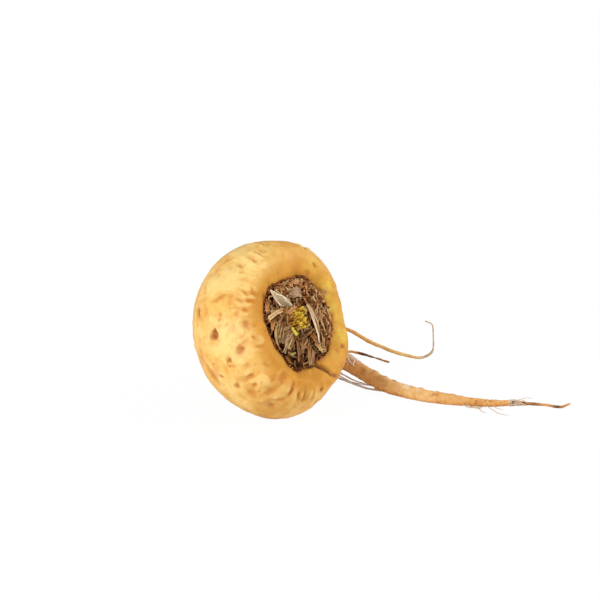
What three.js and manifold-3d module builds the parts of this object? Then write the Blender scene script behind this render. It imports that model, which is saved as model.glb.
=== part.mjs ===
// A fresh maca root, lying on its side as it would on a table.
//
// The swollen round body carries a sunken crown at one end and narrows into a
// taproot at the other. The crown points obliquely up, the taproot leaves the
// body low at the back, meets the table and sweeps round along it. Body,
// taproot and side roots grew as one piece and are one solid. The dried bases of
// the old leaves and the young bud stand in the crown, each a piece of its own.
//
// Millimetres, +Z up. The origin is on the table, in the middle of the face that
// the body rests on. Until the end, points are measured from the table under the
// middle of the body.

import * as THREE from "three";
import { mergeVertices } from "three/addons/utils/BufferGeometryUtils.js";
import Module from "manifold-3d";

const wasm = await Module();
wasm.setup();

// ---------------------------------------------------------------- dimensions

const BODY_RADIUS = 25; // widest, across the crown's axis
const CENTRE_HEIGHT = 23.9; // of the body's middle above the table
const FOOT = { x: 2.1, y: -3.3 }; // middle of the face that rests on the table
const CROWN_YAW = 47; // degrees, from -Y towards +X
const CROWN_LIFT = 27.5; // degrees, above the horizontal

// The body is a little narrower sideways than it is high, the crown more so.
const BODY_SQUEEZE = 0.93;
const CROWN_SQUEEZE = 0.86;

const SIDES = 36; // round the body, and half as many round the taproot
const BODY_RINGS = 38;
const TAPROOT_RINGS = 46;
const SIDE_ROOT_SIDES = 8;

const CLEARANCE = 0.3; // between the pieces of the crown and the flesh under them

// Half the body's outline, as [radius, distance along the crown's axis], both
// as shares of BODY_RADIUS: crater floor, wall, rim, shoulder, waist, root cone.
const OUTLINE = [
  [0, 0.39],
  [0.2, 0.38],
  [0.37, 0.355],
  [0.475, 0.375],
  [0.53, 0.455],
  [0.61, 0.5],
  [0.7, 0.52],
  [0.78, 0.5],
  [0.86, 0.42],
  [0.93, 0.3],
  [0.98, 0.13],
  [1, -0.05],
  [0.965, -0.25],
  [0.85, -0.45],
  [0.66, -0.595],
  [0.45, -0.69],
  [0.3, -0.79],
  [0.22, -0.94],
];
const CRATER_EDGE = 0.58 * BODY_RADIUS; // where the wall rolls over into the rim

// The crater is no circle: its reach at each turn about the axis, in degrees,
// as a share of the outline's. It fades out over the rim.
const CRATER_REACH = [
  [-180, 1.08],
  [-150, 1.12],
  [-125, 1.2],
  [-104, 1.08],
  [-80, 0.95],
  [-50, 0.975],
  [-20, 1],
  [20, 1.01],
  [50, 0.99],
  [80, 0.86],
  [104, 0.86],
  [128, 0.98],
  [150, 1.07],
  [180, 1.08],
];
const REACH_FADE = [0.6 * BODY_RADIUS, 0.82 * BODY_RADIUS];

// The taproot's centre line after the body's cone, [x, y, z, radius].
const TAPROOT = [
  [-16.2, 18.0, 9.6, 4.6],
  [-14.0, 23.4, 6.2, 4.0],
  [-8.6, 27.8, 3.8, 3.4],
  [-1.6, 30.2, 3.0, 2.95],
  [6.5, 30.4, 2.9, 2.6],
  [14.5, 28.4, 4.0, 2.45],
  [20.5, 24.6, 4.8, 2.4],
  [25.0, 19.4, 3.9, 2.35],
  [30.5, 13.4, 2.6, 2.25],
  [36.2, 8.6, 2.05, 2.05],
  [44.6, 3.8, 1.8, 1.8],
  [50.3, 1.9, 1.6, 1.6],
  [58.8, 0.4, 1.25, 1.25],
  [64.4, 0.4, 1.0, 1.0],
  [68.0, 1.4, 0.8, 0.8],
  [71.5, 1.4, 0.6, 0.55],
  [77.0, 0.8, 0.42, 0.4],
  [81.8, -0.8, 0.34, 0.32],
  [84.6, 0.4, 0.9, 0.2],
];

// Side roots, [x, y, z, radius] from inside the taproot to the tip.
const LONG_SIDE_ROOT = [
  [0.5, 29.0, 3.0, 0.95],
  [4.0, 30.6, 6.0, 0.8],
  [12.0, 32.4, 11.0, 0.7],
  [20.6, 32.6, 11.7, 0.6],
  [27.7, 33.6, 7.5, 0.56],
  [34.0, 35.6, 3.9, 0.52],
  [39.0, 37.4, 1.7, 0.47],
  [43.0, 39.2, 0.55, 0.42],
  [45.8, 40.2, 1.9, 0.34],
  [46.1, 41.2, 6.5, 0.28],
  [45.7, 41.3, 9.9, 0.25],
  [43.8, 41.4, 10.8, 0.2],
];
const SHORT_SIDE_ROOT = [
  [11.0, 28.8, 3.4, 0.6],
  [15.5, 28.4, 5.4, 0.48],
  [22.0, 29.3, 6.0, 0.4],
  [27.0, 29.1, 4.9, 0.34],
  [33.4, 29.6, 2.6, 0.22],
];

// Broad swellings and hollows of the body: turn about the crown's axis in
// degrees from the horizontal, distance along it, spread and height.
const SWELLINGS = [
  { turn: -60, along: 5, spread: 9, height: -0.8 }, // slope low on the right
  { turn: -118, along: 4, spread: 11, height: 1.5 }, // lobe at the foot
  { turn: 190, along: 7, spread: 8, height: 0.9 }, // bulge on the left
  { turn: 212, along: -8, spread: 10, height: 1.4 }, // fullness low at the back
  { turn: 46, along: 8, spread: 10, height: 1.2 }, // upper right corner
  { turn: -14, along: 8, spread: 10, height: -1.9 }, // flat of the right side
  { turn: -86, along: 12.5, spread: 4, height: -1.2 }, // crease out of the crown
  { turn: -138, along: -10, spread: 7, height: -0.9 }, // hollow behind the foot
  { turn: 118, along: -5, spread: 10, height: -0.5 }, // slope of the upper left
  { turn: 15, along: -11, spread: 9, height: 0.8 },
  { turn: -38, along: 11.5, spread: 4.5, height: 0.8 }, // knob low on the right rim
];

// Old leaf sheaths stand round the bud in rings, each a cupped plate that leans
// outwards. Radii, height and thickness in mm, angles in degrees.
const SHEATH_RINGS = [
  { name: "outer_sheath", count: 11, radius: [11.4, 12.7], height: 3.6, arc: 27, start: 8 },
  { name: "middle_sheath", count: 10, radius: [9.1, 10.3], height: 3.8, arc: 29, start: 0 },
  { name: "inner_sheath", count: 8, radius: [6.8, 7.8], height: 3.9, arc: 36, start: 17 },
  { name: "bud_sheath", count: 6, radius: [4.5, 5.0], height: 3.9, arc: 47, start: 5 },
  { name: "bud_scale", count: 5, radius: [2.6, 2.3], height: 3.9, arc: 55, start: 30 },
];
const SHEATH_THICKNESS = 0.6;

// Dry stalk ends that lie across the sheaths: where each starts and ends, as
// [radius, turn in degrees, height above the crater floor], its width and depth.
const STALKS = [
  { name: "cut_stalk", from: [5.9, 131, 4.6], to: [12.6, 126, 5.4], width: 2.9, depth: 1.3 },
  { name: "strap", from: [6.8, 152, 4.6], to: [12.2, 168, 4.8], width: 1.3, depth: 0.7 },
  { name: "stub_01", from: [7.4, 228, 4.5], to: [11.2, 233, 4.3], width: 1.3, depth: 0.9 },
  { name: "stub_02", from: [7.2, 260, 4.5], to: [12.6, 252, 4.3], width: 1.5, depth: 0.9 },
  { name: "stub_03", from: [8.2, 274, 4.5], to: [12.2, 264, 4.3], width: 1.1, depth: 0.8 },
  { name: "stub_04", from: [6.8, 196, 4.5], to: [12.4, 208, 4.4], width: 2.4, depth: 0.9 },
];

const BUD = { radius: 1.5, height: 3.6 };

// ------------------------------------------------------------- crown's frame

const radians = THREE.MathUtils.degToRad;
const { lerp, smoothstep } = THREE.MathUtils;

const AXIS = new THREE.Vector3(
  Math.sin(radians(CROWN_YAW)) * Math.cos(radians(CROWN_LIFT)),
  -Math.cos(radians(CROWN_YAW)) * Math.cos(radians(CROWN_LIFT)),
  Math.sin(radians(CROWN_LIFT)),
);
const ACROSS = new THREE.Vector3(0, 0, 1).cross(AXIS).normalize();
const UPWARDS = AXIS.clone().cross(ACROSS);
const CENTRE = new THREE.Vector3(0, 0, CENTRE_HEIGHT);

// The crater's reach at a turn in radians.
function craterReach(turn) {
  const degrees = THREE.MathUtils.euclideanModulo(THREE.MathUtils.radToDeg(turn) + 180, 360) - 180;
  const next = CRATER_REACH.findIndex(([edge]) => edge > degrees);
  const [[from, before], [to, after]] = [CRATER_REACH[next - 1], CRATER_REACH[next]];
  return lerp(before, after, smoothstep(degrees, from, to));
}

// The point at a radius, a turn (radians) and a distance along the crown's axis.
function crownPoint(radius, turn, along) {
  const open = smoothstep(radius, 0.5 * BODY_RADIUS, 0.9 * BODY_RADIUS);
  const front = smoothstep(along, 0, 0.3 * BODY_RADIUS);
  const squeeze = lerp(BODY_SQUEEZE, CROWN_SQUEEZE, (1 - open) * front);
  const reach = lerp(1, craterReach(turn), (1 - smoothstep(radius, ...REACH_FADE)) * front);
  return CENTRE.clone()
    .addScaledVector(AXIS, along)
    .addScaledVector(ACROSS, squeeze * reach * radius * Math.cos(turn))
    .addScaledVector(UPWARDS, reach * radius * Math.sin(turn));
}

// ------------------------------------------------------------------- helpers

// A closed skin over rings of points, with a point at each end. A ring may have
// half as many points as the one before it.
function loft(start, rings, end) {
  const points = [start];
  const numbered = rings.map((ring) => ring.map((point) => points.push(point) - 1));
  const last = points.push(end) - 1;
  const faces = [];
  const wrap = (ring, side) => ring[side % ring.length];
  for (const side of numbered[0].keys())
    faces.push(0, wrap(numbered[0], side), wrap(numbered[0], side + 1));
  for (let i = 0; i + 1 < numbered.length; i++) {
    const [here, next] = [numbered[i], numbered[i + 1]];
    const halved = here.length > next.length;
    for (const side of next.keys()) {
      const [a, b] = [wrap(next, side), wrap(next, side + 1)];
      if (halved) {
        const [c, d, e] = [0, 1, 2].map((step) => wrap(here, 2 * side + step));
        faces.push(c, a, d, d, a, b, d, b, e);
      } else {
        const [c, d] = [wrap(here, side), wrap(here, side + 1)];
        faces.push(c, a, b, c, b, d);
      }
    }
  }
  const final = numbered.at(-1);
  for (const side of final.keys()) faces.push(wrap(final, side), last, wrap(final, side + 1));
  return new THREE.BufferGeometry().setFromPoints(points).setIndex(faces);
}

function middleOf(points) {
  return points
    .reduce((sum, point) => sum.add(point), new THREE.Vector3())
    .divideScalar(points.length);
}

function solid(geometry) {
  const bare = geometry.clone();
  bare.deleteAttribute("normal");
  bare.deleteAttribute("uv");
  const merged = mergeVertices(bare, 1e-4);
  return new wasm.Manifold(
    new wasm.Mesh({
      numProp: 3,
      vertProperties: merged.attributes.position.array,
      triVerts: new Uint32Array(merged.index.array),
    }),
  );
}

function geometryOf(manifold) {
  const { vertProperties, triVerts } = manifold.getMesh();
  return new THREE.BufferGeometry()
    .setAttribute("position", new THREE.BufferAttribute(vertProperties, 3))
    .setIndex(new THREE.BufferAttribute(triVerts, 1));
}

// The largest body of a solid that a cut may have left in several.
function largest(manifold) {
  const bodies = manifold.decompose();
  return bodies.reduce((a, b) => (b.volume() > a.volume() ? b : a));
}

// Rings round a centre line of [x, y, z, radius] points. The first ring keeps
// the given direction, and the rest turn with the line without twisting.
function ringsAlong(line, count, sides, across) {
  const curve = new THREE.CatmullRomCurve3(
    line.map(([x, y, z]) => new THREE.Vector3(x, y, z)),
    false,
    "centripetal",
  );
  const radii = new THREE.SplineCurve(
    line.map((point, i) => new THREE.Vector2(i, point[3])),
  );
  const side = across.clone();
  const rings = [];
  for (let i = 0; i <= count; i++) {
    const share = i / count;
    const centre = curve.getPoint(share);
    const forward = curve.getTangent(share);
    side.addScaledVector(forward, -side.dot(forward)).normalize();
    const other = side.clone().cross(forward);
    const radius = radii.getPoint(share).y;
    rings.push(
      Array.from({ length: sides }, (_, k) => {
        const turn = (2 * Math.PI * k) / sides;
        return centre
          .clone()
          .addScaledVector(side, radius * Math.cos(turn))
          .addScaledVector(other, radius * Math.sin(turn));
      }),
    );
  }
  return { rings, end: curve.getPoint(1) };
}

// A repeatable number from -1 to 1 for the given piece and purpose.
function vary(index, purpose) {
  const wave = Math.sin(index * 12.9898 + purpose * 78.233) * 43758.5453;
  return 2 * (wave - Math.floor(wave)) - 1;
}

// --------------------------------------------------------------------- root

const outline = new THREE.SplineCurve(
  OUTLINE.map(([r, s]) => new THREE.Vector2(r * BODY_RADIUS, s * BODY_RADIUS)),
);

// The body's radius where its outer skin is the given distance along the axis.
function skinRadius(along) {
  const samples = outline.getPoints(200).filter((point) => point.x > CRATER_EDGE);
  const nearest = samples.reduce((a, b) =>
    Math.abs(b.y - along) < Math.abs(a.y - along) ? b : a,
  );
  return nearest.x;
}

const bumps = SWELLINGS.map(({ turn, along, spread, height }) => ({
  middle: crownPoint(skinRadius(along), radians(turn), along),
  spread,
  height,
}));

// How far the skin stands out at a point of the plain body.
function swelling(radius, turn, along) {
  const point = crownPoint(radius, turn, along);
  let height = 0;
  for (const { middle, spread, height: peak } of bumps)
    height += peak * Math.exp(-((point.distanceTo(middle) / spread) ** 2));
  return height * smoothstep(radius, 0.9 * CRATER_EDGE, 1.15 * CRATER_EDGE);
}

// The body's rings, with the skin pushed out by `grown`.
function bodyRings(grown = 0) {
  const rings = [];
  for (let i = 1; i <= BODY_RINGS; i++) {
    const share = i / BODY_RINGS;
    const { x: radius, y: along } = outline.getPoint(share);
    const slope = outline.getTangent(share);
    rings.push(
      Array.from({ length: SIDES }, (_, k) => {
        const turn = (2 * Math.PI * k) / SIDES;
        const height = swelling(radius, turn, along) + grown;
        return crownPoint(radius - height * slope.y, turn, along + height * slope.x);
      }),
    );
  }
  return rings;
}

// The space the pieces of the crown keep out of: the body and the clearance.
function keepOut() {
  const top = crownPoint(0, 0, OUTLINE[0][1] * BODY_RADIUS + CLEARANCE);
  const end = crownPoint(0, 0, OUTLINE.at(-1)[1] * BODY_RADIUS);
  return solid(loft(top, bodyRings(CLEARANCE), end));
}

function buildRoot() {
  const body = bodyRings();
  const [endRadius, endAlong] = OUTLINE.at(-1).map((v) => v * BODY_RADIUS);
  const neck = crownPoint(0, 0, endAlong);
  const taproot = ringsAlong(
    [[neck.x, neck.y, neck.z, endRadius], ...TAPROOT],
    TAPROOT_RINGS,
    SIDES / 2,
    ACROSS,
  );
  const top = crownPoint(0, 0, OUTLINE[0][1] * BODY_RADIUS);
  const rings = [...body, ...taproot.rings.slice(1)];
  let root = solid(loft(top, rings, taproot.end));
  for (const line of [LONG_SIDE_ROOT, SHORT_SIDE_ROOT]) {
    const branch = ringsAlong(line, 3 * line.length, SIDE_ROOT_SIDES, AXIS);
    const [x, y, z] = line[0];
    root = root.add(
      solid(loft(new THREE.Vector3(x, y, z), branch.rings, branch.end)),
    );
  }
  // The flesh that rests on the table is flat there.
  const below = new THREE.BoxGeometry(300, 300, 20);
  below.translate(0, 0, -10);
  return geometryOf(root.subtract(solid(below)));
}

// -------------------------------------------------------------------- crown

// The crater floor's distance along the axis at a radius.
function floorAt(radius) {
  const floor = outline.getPoints(200).filter((point) => point.x <= CRATER_EDGE);
  return floor.find((point) => point.x >= radius).y;
}

// A cupped plate that stands on the crater's floor and leans outwards.
function buildSheath(ring, index, seed) {
  const columns = 3;
  const rows = 3;
  const height = ring.height * (1 + 0.15 * vary(index, seed));
  const turn = radians(ring.start + (360 * index) / ring.count + 2 * vary(index, seed + 7));
  const foot = floorAt(ring.radius[0]) - 0.5;
  const rings = [];
  for (let row = 0; row <= rows; row++) {
    const share = row / rows;
    const radius = lerp(...ring.radius, share);
    const half = (radians(ring.arc) / 2) * (1 - 0.3 * share ** 3);
    const faces = [-0.5, 0.5].map((side) =>
      Array.from({ length: columns + 1 }, (_, column) => {
        const across = (2 * column) / columns - 1;
        const torn = 0.2 * across * vary(index, seed + 3) - 0.16 * across ** 2;
        const along = foot + 0.5 + (height * (1 + torn) + 0.5) * share - 0.5;
        const thickness = SHEATH_THICKNESS * (1 - 0.35 * Math.abs(across) - 0.2 * share);
        return crownPoint(radius + side * thickness, turn + half * across, along);
      }),
    );
    rings.push([...faces[0], ...faces[1].reverse()]);
  }
  return loft(middleOf(rings[0]), rings, middleOf(rings.at(-1)));
}

// A dry stalk end, bowed upwards and hollow above, `grown` larger all round.
function buildStalk({ from, to, width, depth }, grown = 0) {
  const steps = 4;
  const place = ([radius, turn, height]) =>
    crownPoint(radius, radians(turn), floorAt(Math.min(radius, 12)) + height);
  const start = place(from);
  const end = place(to);
  const forward = end.clone().sub(start).normalize();
  const sideways = forward.clone().cross(AXIS).normalize();
  const upwards = sideways.clone().cross(forward);
  const trough = [
    [-0.5, 0.45],
    [-0.42, -0.1],
    [0, -0.5],
    [0.42, -0.1],
    [0.5, 0.45],
    [0, 0.1],
  ];
  const rings = [];
  for (let i = 0; i <= steps; i++) {
    const share = i / steps;
    const wide = width * (0.8 + 0.2 * Math.sin(Math.PI * share)) + 2 * grown;
    const deep = depth + 2 * grown;
    const middle = start
      .clone()
      .lerp(end, share)
      .addScaledVector(forward, grown * (2 * share - 1))
      .addScaledVector(AXIS, 0.5 * Math.sin(Math.PI * share));
    rings.push(
      trough.map(([x, y]) =>
        middle.clone().addScaledVector(sideways, x * wide).addScaledVector(upwards, y * deep),
      ),
    );
  }
  return loft(middleOf(rings[0]), rings, middleOf(rings.at(-1)));
}

function buildBud() {
  const steps = 6;
  const profile = [new THREE.Vector2(0, 0)];
  for (let i = 0; i < steps; i++) {
    const angle = (i / steps) * (Math.PI / 2);
    profile.push(
      new THREE.Vector2(BUD.radius * Math.cos(angle), BUD.height * Math.sin(angle)),
    );
  }
  profile.push(new THREE.Vector2(0, BUD.height));
  return new THREE.LatheGeometry(profile, 12);
}

// ------------------------------------------------------------------ assembly

const colours = {
  root: 0xe3b062,
  outer_sheath: 0x5e3d28,
  middle_sheath: 0x8a6a50,
  inner_sheath: 0x9a7a5e,
  bud_sheath: 0x9a7b3c,
  bud_scale: 0xa9862a,
  bud: 0xb8a52c,
  stalk: 0xcdb48e,
};
const maca = new THREE.Group();
maca.position.set(-FOOT.x, -FOOT.y, 0);

function add(name, geometry, kind) {
  const material = new THREE.MeshStandardMaterial({
    color: colours[kind],
    roughness: kind === "root" ? 0.6 : 0.9,
    metalness: 0,
  });
  const mesh = new THREE.Mesh(geometry, material);
  mesh.name = name;
  maca.add(mesh);
  return mesh;
}

add("root", buildRoot(), "root");

let taken = keepOut();
for (const stalk of STALKS) {
  add(stalk.name, buildStalk(stalk), "stalk");
  taken = taken.add(solid(buildStalk(stalk, CLEARANCE)));
}

SHEATH_RINGS.forEach((ring, seed) => {
  for (let i = 0; i < ring.count; i++) {
    const plate = solid(buildSheath(ring, i, seed)).subtract(taken);
    const name = `${ring.name}_${String(i + 1).padStart(2, "0")}`;
    add(name, geometryOf(largest(plate)), ring.name);
  }
});

const bud = add("bud", buildBud(), "bud");
bud.position.copy(crownPoint(0, 0, floorAt(0) + CLEARANCE));
bud.quaternion.setFromUnitVectors(new THREE.Vector3(0, 1, 0), AXIS);

export default maca;
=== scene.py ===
import math

import bpy
import numpy as np
from mathutils import Matrix, Vector


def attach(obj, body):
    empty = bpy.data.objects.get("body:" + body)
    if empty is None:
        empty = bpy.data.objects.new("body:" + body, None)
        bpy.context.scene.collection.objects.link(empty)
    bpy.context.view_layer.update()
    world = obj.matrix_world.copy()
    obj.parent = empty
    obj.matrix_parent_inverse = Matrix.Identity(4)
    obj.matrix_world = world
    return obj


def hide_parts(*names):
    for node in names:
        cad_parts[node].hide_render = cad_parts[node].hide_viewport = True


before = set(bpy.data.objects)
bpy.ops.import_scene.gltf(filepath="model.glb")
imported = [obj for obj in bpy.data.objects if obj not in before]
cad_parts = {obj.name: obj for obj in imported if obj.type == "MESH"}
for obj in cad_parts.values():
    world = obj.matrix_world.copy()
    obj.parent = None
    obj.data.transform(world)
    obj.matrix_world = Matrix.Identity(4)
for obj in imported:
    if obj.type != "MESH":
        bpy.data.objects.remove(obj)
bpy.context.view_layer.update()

# A fresh maca root lying on its side. The round body opens at one end in a
# sunken crown of dry leaf bases with a young bud in the middle, and narrows at
# the other into a taproot that sweeps round along the table. Lengths are in
# millimetres from the table under the body's middle until points are placed.

MM = 0.001

# ------------------------------------------------------------ body's measures

BODY_RADIUS = 25.0
CENTRE_HEIGHT = 23.9
FOOT = (2.1, -3.3)  # middle of the face that rests on the table
CROWN_YAW = math.radians(47)
CROWN_LIFT = math.radians(27.5)
BODY_SQUEEZE = 0.93
CROWN_SQUEEZE = 0.86

# Half the outline as shares of BODY_RADIUS, [radius, distance along the axis]:
# crater floor, wall, rim, shoulder, waist, root cone.
OUTLINE = [
    (0.02, 0.39), (0.2, 0.38), (0.37, 0.355), (0.475, 0.375), (0.53, 0.455),
    (0.61, 0.5), (0.7, 0.52), (0.78, 0.5), (0.86, 0.42), (0.93, 0.3),
    (0.98, 0.13), (1.0, -0.05), (0.965, -0.25), (0.85, -0.45),
    (0.66, -0.595), (0.45, -0.69), (0.3, -0.79), (0.22, -0.94),
]
CRATER_EDGE = 0.58 * BODY_RADIUS
CRATER_RADIUS = 12.9  # where the dry crown ends and the skin begins

# The crater's reach at each turn in degrees, as a share of the outline's.
CRATER_REACH = [
    (-180, 1.08), (-150, 1.12), (-125, 1.2), (-104, 1.08), (-80, 0.95),
    (-50, 0.975), (-20, 1), (20, 1.01), (50, 0.99), (80, 0.86), (104, 0.86),
    (128, 0.98), (150, 1.07), (180, 1.08),
]

# Centre lines, [x, y, z, radius]
TAPROOT = [
    (-16.2, 18.0, 9.6, 4.6), (-14.0, 23.4, 6.2, 4.0), (-8.6, 27.8, 3.8, 3.4),
    (-1.6, 30.2, 3.0, 2.95), (6.5, 30.4, 2.9, 2.6), (14.5, 28.4, 4.0, 2.45),
    (20.5, 24.6, 4.8, 2.4), (25.0, 19.4, 3.9, 2.35), (30.5, 13.4, 2.6, 2.25),
    (36.2, 8.6, 2.05, 2.05), (44.6, 3.8, 1.8, 1.8), (50.3, 1.9, 1.6, 1.6),
    (58.8, 0.4, 1.25, 1.25), (64.4, 0.4, 1.0, 1.0), (68.0, 1.4, 0.8, 0.8),
]
TAIL = [
    (66.4, 1.0, 0.85, 0.7), (68.0, 1.4, 0.8, 0.72), (69.6, 1.5, 0.72, 0.62),
    (71.5, 1.4, 0.6, 0.5), (74.2, 1.2, 0.5, 0.42), (77.0, 0.8, 0.45, 0.36),
    (79.6, -0.2, 0.36, 0.36), (81.8, -0.8, 0.36, 0.34), (83.4, -0.1, 0.7, 0.26),
    (84.5, 0.4, 0.95, 0.12),
]
LONG_SIDE_ROOT = [
    (0.5, 29.0, 3.0, 0.95), (4.0, 30.6, 6.0, 0.8), (12.0, 32.4, 11.0, 0.7),
    (20.6, 32.6, 11.7, 0.6), (27.7, 33.6, 7.5, 0.56), (34.0, 35.6, 3.9, 0.52),
    (39.0, 37.4, 1.7, 0.47), (43.0, 39.2, 0.55, 0.42), (45.8, 40.2, 1.9, 0.34),
    (46.1, 41.2, 6.5, 0.28), (45.7, 41.3, 9.9, 0.25), (43.8, 41.4, 10.8, 0.2),
]
SHORT_SIDE_ROOT = [
    (11.0, 28.8, 3.4, 0.6), (15.5, 28.4, 5.4, 0.48), (22.0, 29.3, 6.0, 0.4),
    (27.0, 29.1, 4.9, 0.34), (33.4, 29.6, 2.6, 0.22),
]

# Thin roots: name, centre line, how many rings.
THIN_ROOTS = [
    ("tail", TAIL, 40), ("long_side_root", LONG_SIDE_ROOT, 70),
    ("short_side_root", SHORT_SIDE_ROOT, 36),
]

# Swellings and hollows of the body: turn about the axis in degrees, distance
# along it, spread, height.
SWELLINGS = [
    (-60, 5, 9, -0.8), (-118, 4, 11, 1.5), (190, 7, 8, 0.9), (212, -8, 10, 1.4),
    (46, 8, 10, 1.2), (-14, 8, 10, -1.9), (-86, 12.5, 4, -1.2),
    (-138, -10, 7, -0.9), (118, -5, 10, -0.5), (15, -11, 9, 0.8),
    (-38, 11.5, 4.5, 0.8),
]

SIDES = 48
THIN_SIDES = 10
BODY_RINGS = 44
TAPROOT_RINGS = 52
SKIN_VOXEL = 0.33
WELD = 0.002  # points closer than this become one
UNSEEN_MARKS = 74

# ------------------------------------------------------------- crown's frame

AXIS = np.array((
    math.sin(CROWN_YAW) * math.cos(CROWN_LIFT),
    -math.cos(CROWN_YAW) * math.cos(CROWN_LIFT),
    math.sin(CROWN_LIFT),
))
ACROSS = np.array((math.cos(CROWN_YAW), math.sin(CROWN_YAW), 0.0))
UPWARDS = np.cross(AXIS, ACROSS)
CENTRE = np.array((0.0, 0.0, CENTRE_HEIGHT))


def ease(value, low, high):
    """0 below low, 1 above high, and a smooth step between."""
    share = np.clip((value - low) / (high - low), 0, 1)
    return share * share * (3 - 2 * share)


def bell(value):
    """1 at 0, and smoothly down to 0 on both sides."""
    return np.exp(-(value**2))


def unit(vectors):
    return vectors / np.linalg.norm(vectors, axis=-1, keepdims=True)


def away_from(points, spot):
    return np.linalg.norm(points - spot, axis=-1)


def columns(*values):
    """Measures side by side, one row to a point; some may be plain numbers."""
    return np.stack(np.broadcast_arrays(*values), axis=1)


def squeeze_at(radius, along):
    open_share = ease(radius, 0.5 * BODY_RADIUS, 0.9 * BODY_RADIUS)
    front = ease(along, 0, 0.3 * BODY_RADIUS)
    return BODY_SQUEEZE + (CROWN_SQUEEZE - BODY_SQUEEZE) * (1 - open_share) * front


def reach_at(radius, turn, along):
    """How much further out than the plain outline a point of the crater lies."""
    degrees = (np.degrees(turn) + 180) % 360 - 180
    edges, shares = np.array(CRATER_REACH, float).T
    after = np.clip(np.searchsorted(edges, degrees, side="right"), 1, len(edges) - 1)
    blend = ease(degrees, edges[after - 1], edges[after])
    reach = shares[after - 1] + (shares[after] - shares[after - 1]) * blend
    fade = 1 - ease(radius, 0.6 * BODY_RADIUS, 0.82 * BODY_RADIUS)
    return 1 + (reach - 1) * fade * ease(along, 0, 0.3 * BODY_RADIUS)


def crown_point(radius, turn, along):
    """Points at a radius, a turn in radians and a distance along the axis."""
    radius, turn, along = np.broadcast_arrays(*map(np.asarray, (radius, turn, along)))
    reach = reach_at(radius, turn, along)
    sideways = squeeze_at(radius, along) * reach * radius * np.cos(turn)
    upwards = reach * radius * np.sin(turn)
    return (
        CENTRE + along[..., None] * AXIS + sideways[..., None] * ACROSS
        + upwards[..., None] * UPWARDS
    )


def spline(points, shares, even=True):
    """Catmull-Rom curve through points at shares of its length; `even` spaces
    the points by number, otherwise by the root of their distance."""
    points = np.asarray(points, float)
    count = len(points)
    where = np.clip(np.asarray(shares, float), 0, 1) * (count - 1)
    first = np.minimum(where.astype(int), count - 2)
    t = (where - first)[:, None]
    p = [points[np.clip(first + step, 0, count - 1)] for step in (-1, 0, 1, 2)]
    if even:
        v0, v1 = (p[2] - p[0]) / 2, (p[3] - p[1]) / 2
    else:
        gap = [
            np.sqrt(np.linalg.norm((p[i + 1] - p[i])[:, :3], axis=1))[:, None]
            for i in range(3)
        ]
        gap[0] = np.where(gap[0] < 1e-6, gap[1], gap[0])
        gap[2] = np.where(gap[2] < 1e-6, gap[1], gap[2])
        ends = (2 * p[1] - p[2], 2 * p[2] - p[1])
        p[0] = np.where(first[:, None] == 0, ends[0], p[0])
        p[3] = np.where(first[:, None] == count - 2, ends[1], p[3])
        pace = [(p[i + 1] - p[i]) / gap[i] for i in range(3)]
        v0 = (pace[0] - (p[2] - p[0]) / (gap[0] + gap[1]) + pace[1]) * gap[1]
        v1 = (pace[1] - (p[3] - p[1]) / (gap[1] + gap[2]) + pace[2]) * gap[1]
    return (
        (2 * t**3 - 3 * t**2 + 1) * p[1] + (t**3 - 2 * t**2 + t) * v0
        + (-2 * t**3 + 3 * t**2) * p[2] + (t**3 - t**2) * v1
    )


PROFILE = spline(OUTLINE, np.linspace(0, 1, 201)) * BODY_RADIUS


def floor_at(radius):
    """Height of the crater's floor along the axis at a radius."""
    inner = PROFILE[(PROFILE[:, 0] <= CRATER_EDGE) & (PROFILE[:, 1] > 0)]
    return np.interp(radius, inner[:, 0], inner[:, 1])


def skin_point(turn, along):
    """The plain body's skin at a turn in degrees and a distance along the axis."""
    outer = PROFILE[PROFILE[:, 0] > CRATER_EDGE]
    radius = outer[np.argmin(abs(outer[:, 1] - along)), 0]
    return crown_point(radius, math.radians(turn), along)


def swelling(points, radius):
    height = 0.0
    for turn, along, spread, peak in SWELLINGS:
        height += peak * bell(away_from(points, skin_point(turn, along)) / spread)
    return height * ease(radius, 0.9 * CRATER_EDGE, 1.15 * CRATER_EDGE)


def swollen(radius, turn, along, slope):
    """Points of the outline in place, pushed out square to its slope."""
    height = swelling(crown_point(radius, turn, along), radius)
    return crown_point(radius - height * slope[1], turn, along + height * slope[0])


def on_skin(turns, places):
    """Spots of the swollen skin, at turns in degrees and places along OUTLINE."""
    rows = np.asarray(places, float) / (len(OUTLINE) - 1) * (len(PROFILE) - 1)
    numbers = np.arange(len(PROFILE))
    radius, along = (np.interp(rows, numbers, side) for side in PROFILE.T)
    slope = np.stack([
        np.interp(rows, numbers, side) for side in np.gradient(PROFILE, axis=0).T
    ])
    slope /= np.linalg.norm(slope, axis=0)
    return swollen(radius, np.radians(np.asarray(turns, float)), along, slope)


# ---------------------------------------------------------- repeatable noise


def hashed(x, y, z, seed):
    """A repeatable number from -1 to 1 for each whole-numbered place."""
    mixed = (x * 73856093) ^ (y * 19349663) ^ (z * 83492791) ^ (seed * 40503 + 12345)
    mixed = (mixed ^ (mixed >> 13)) & 0xFFFFFFFF
    mixed = (mixed * 1274126177) & 0xFFFFFFFF
    mixed = mixed ^ (mixed >> 15)
    mixed = (mixed * 974711 + 7919) & 0xFFFFFFFF
    return ((mixed >> 8) & 0xFFFF) / 32767.5 - 1


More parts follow.
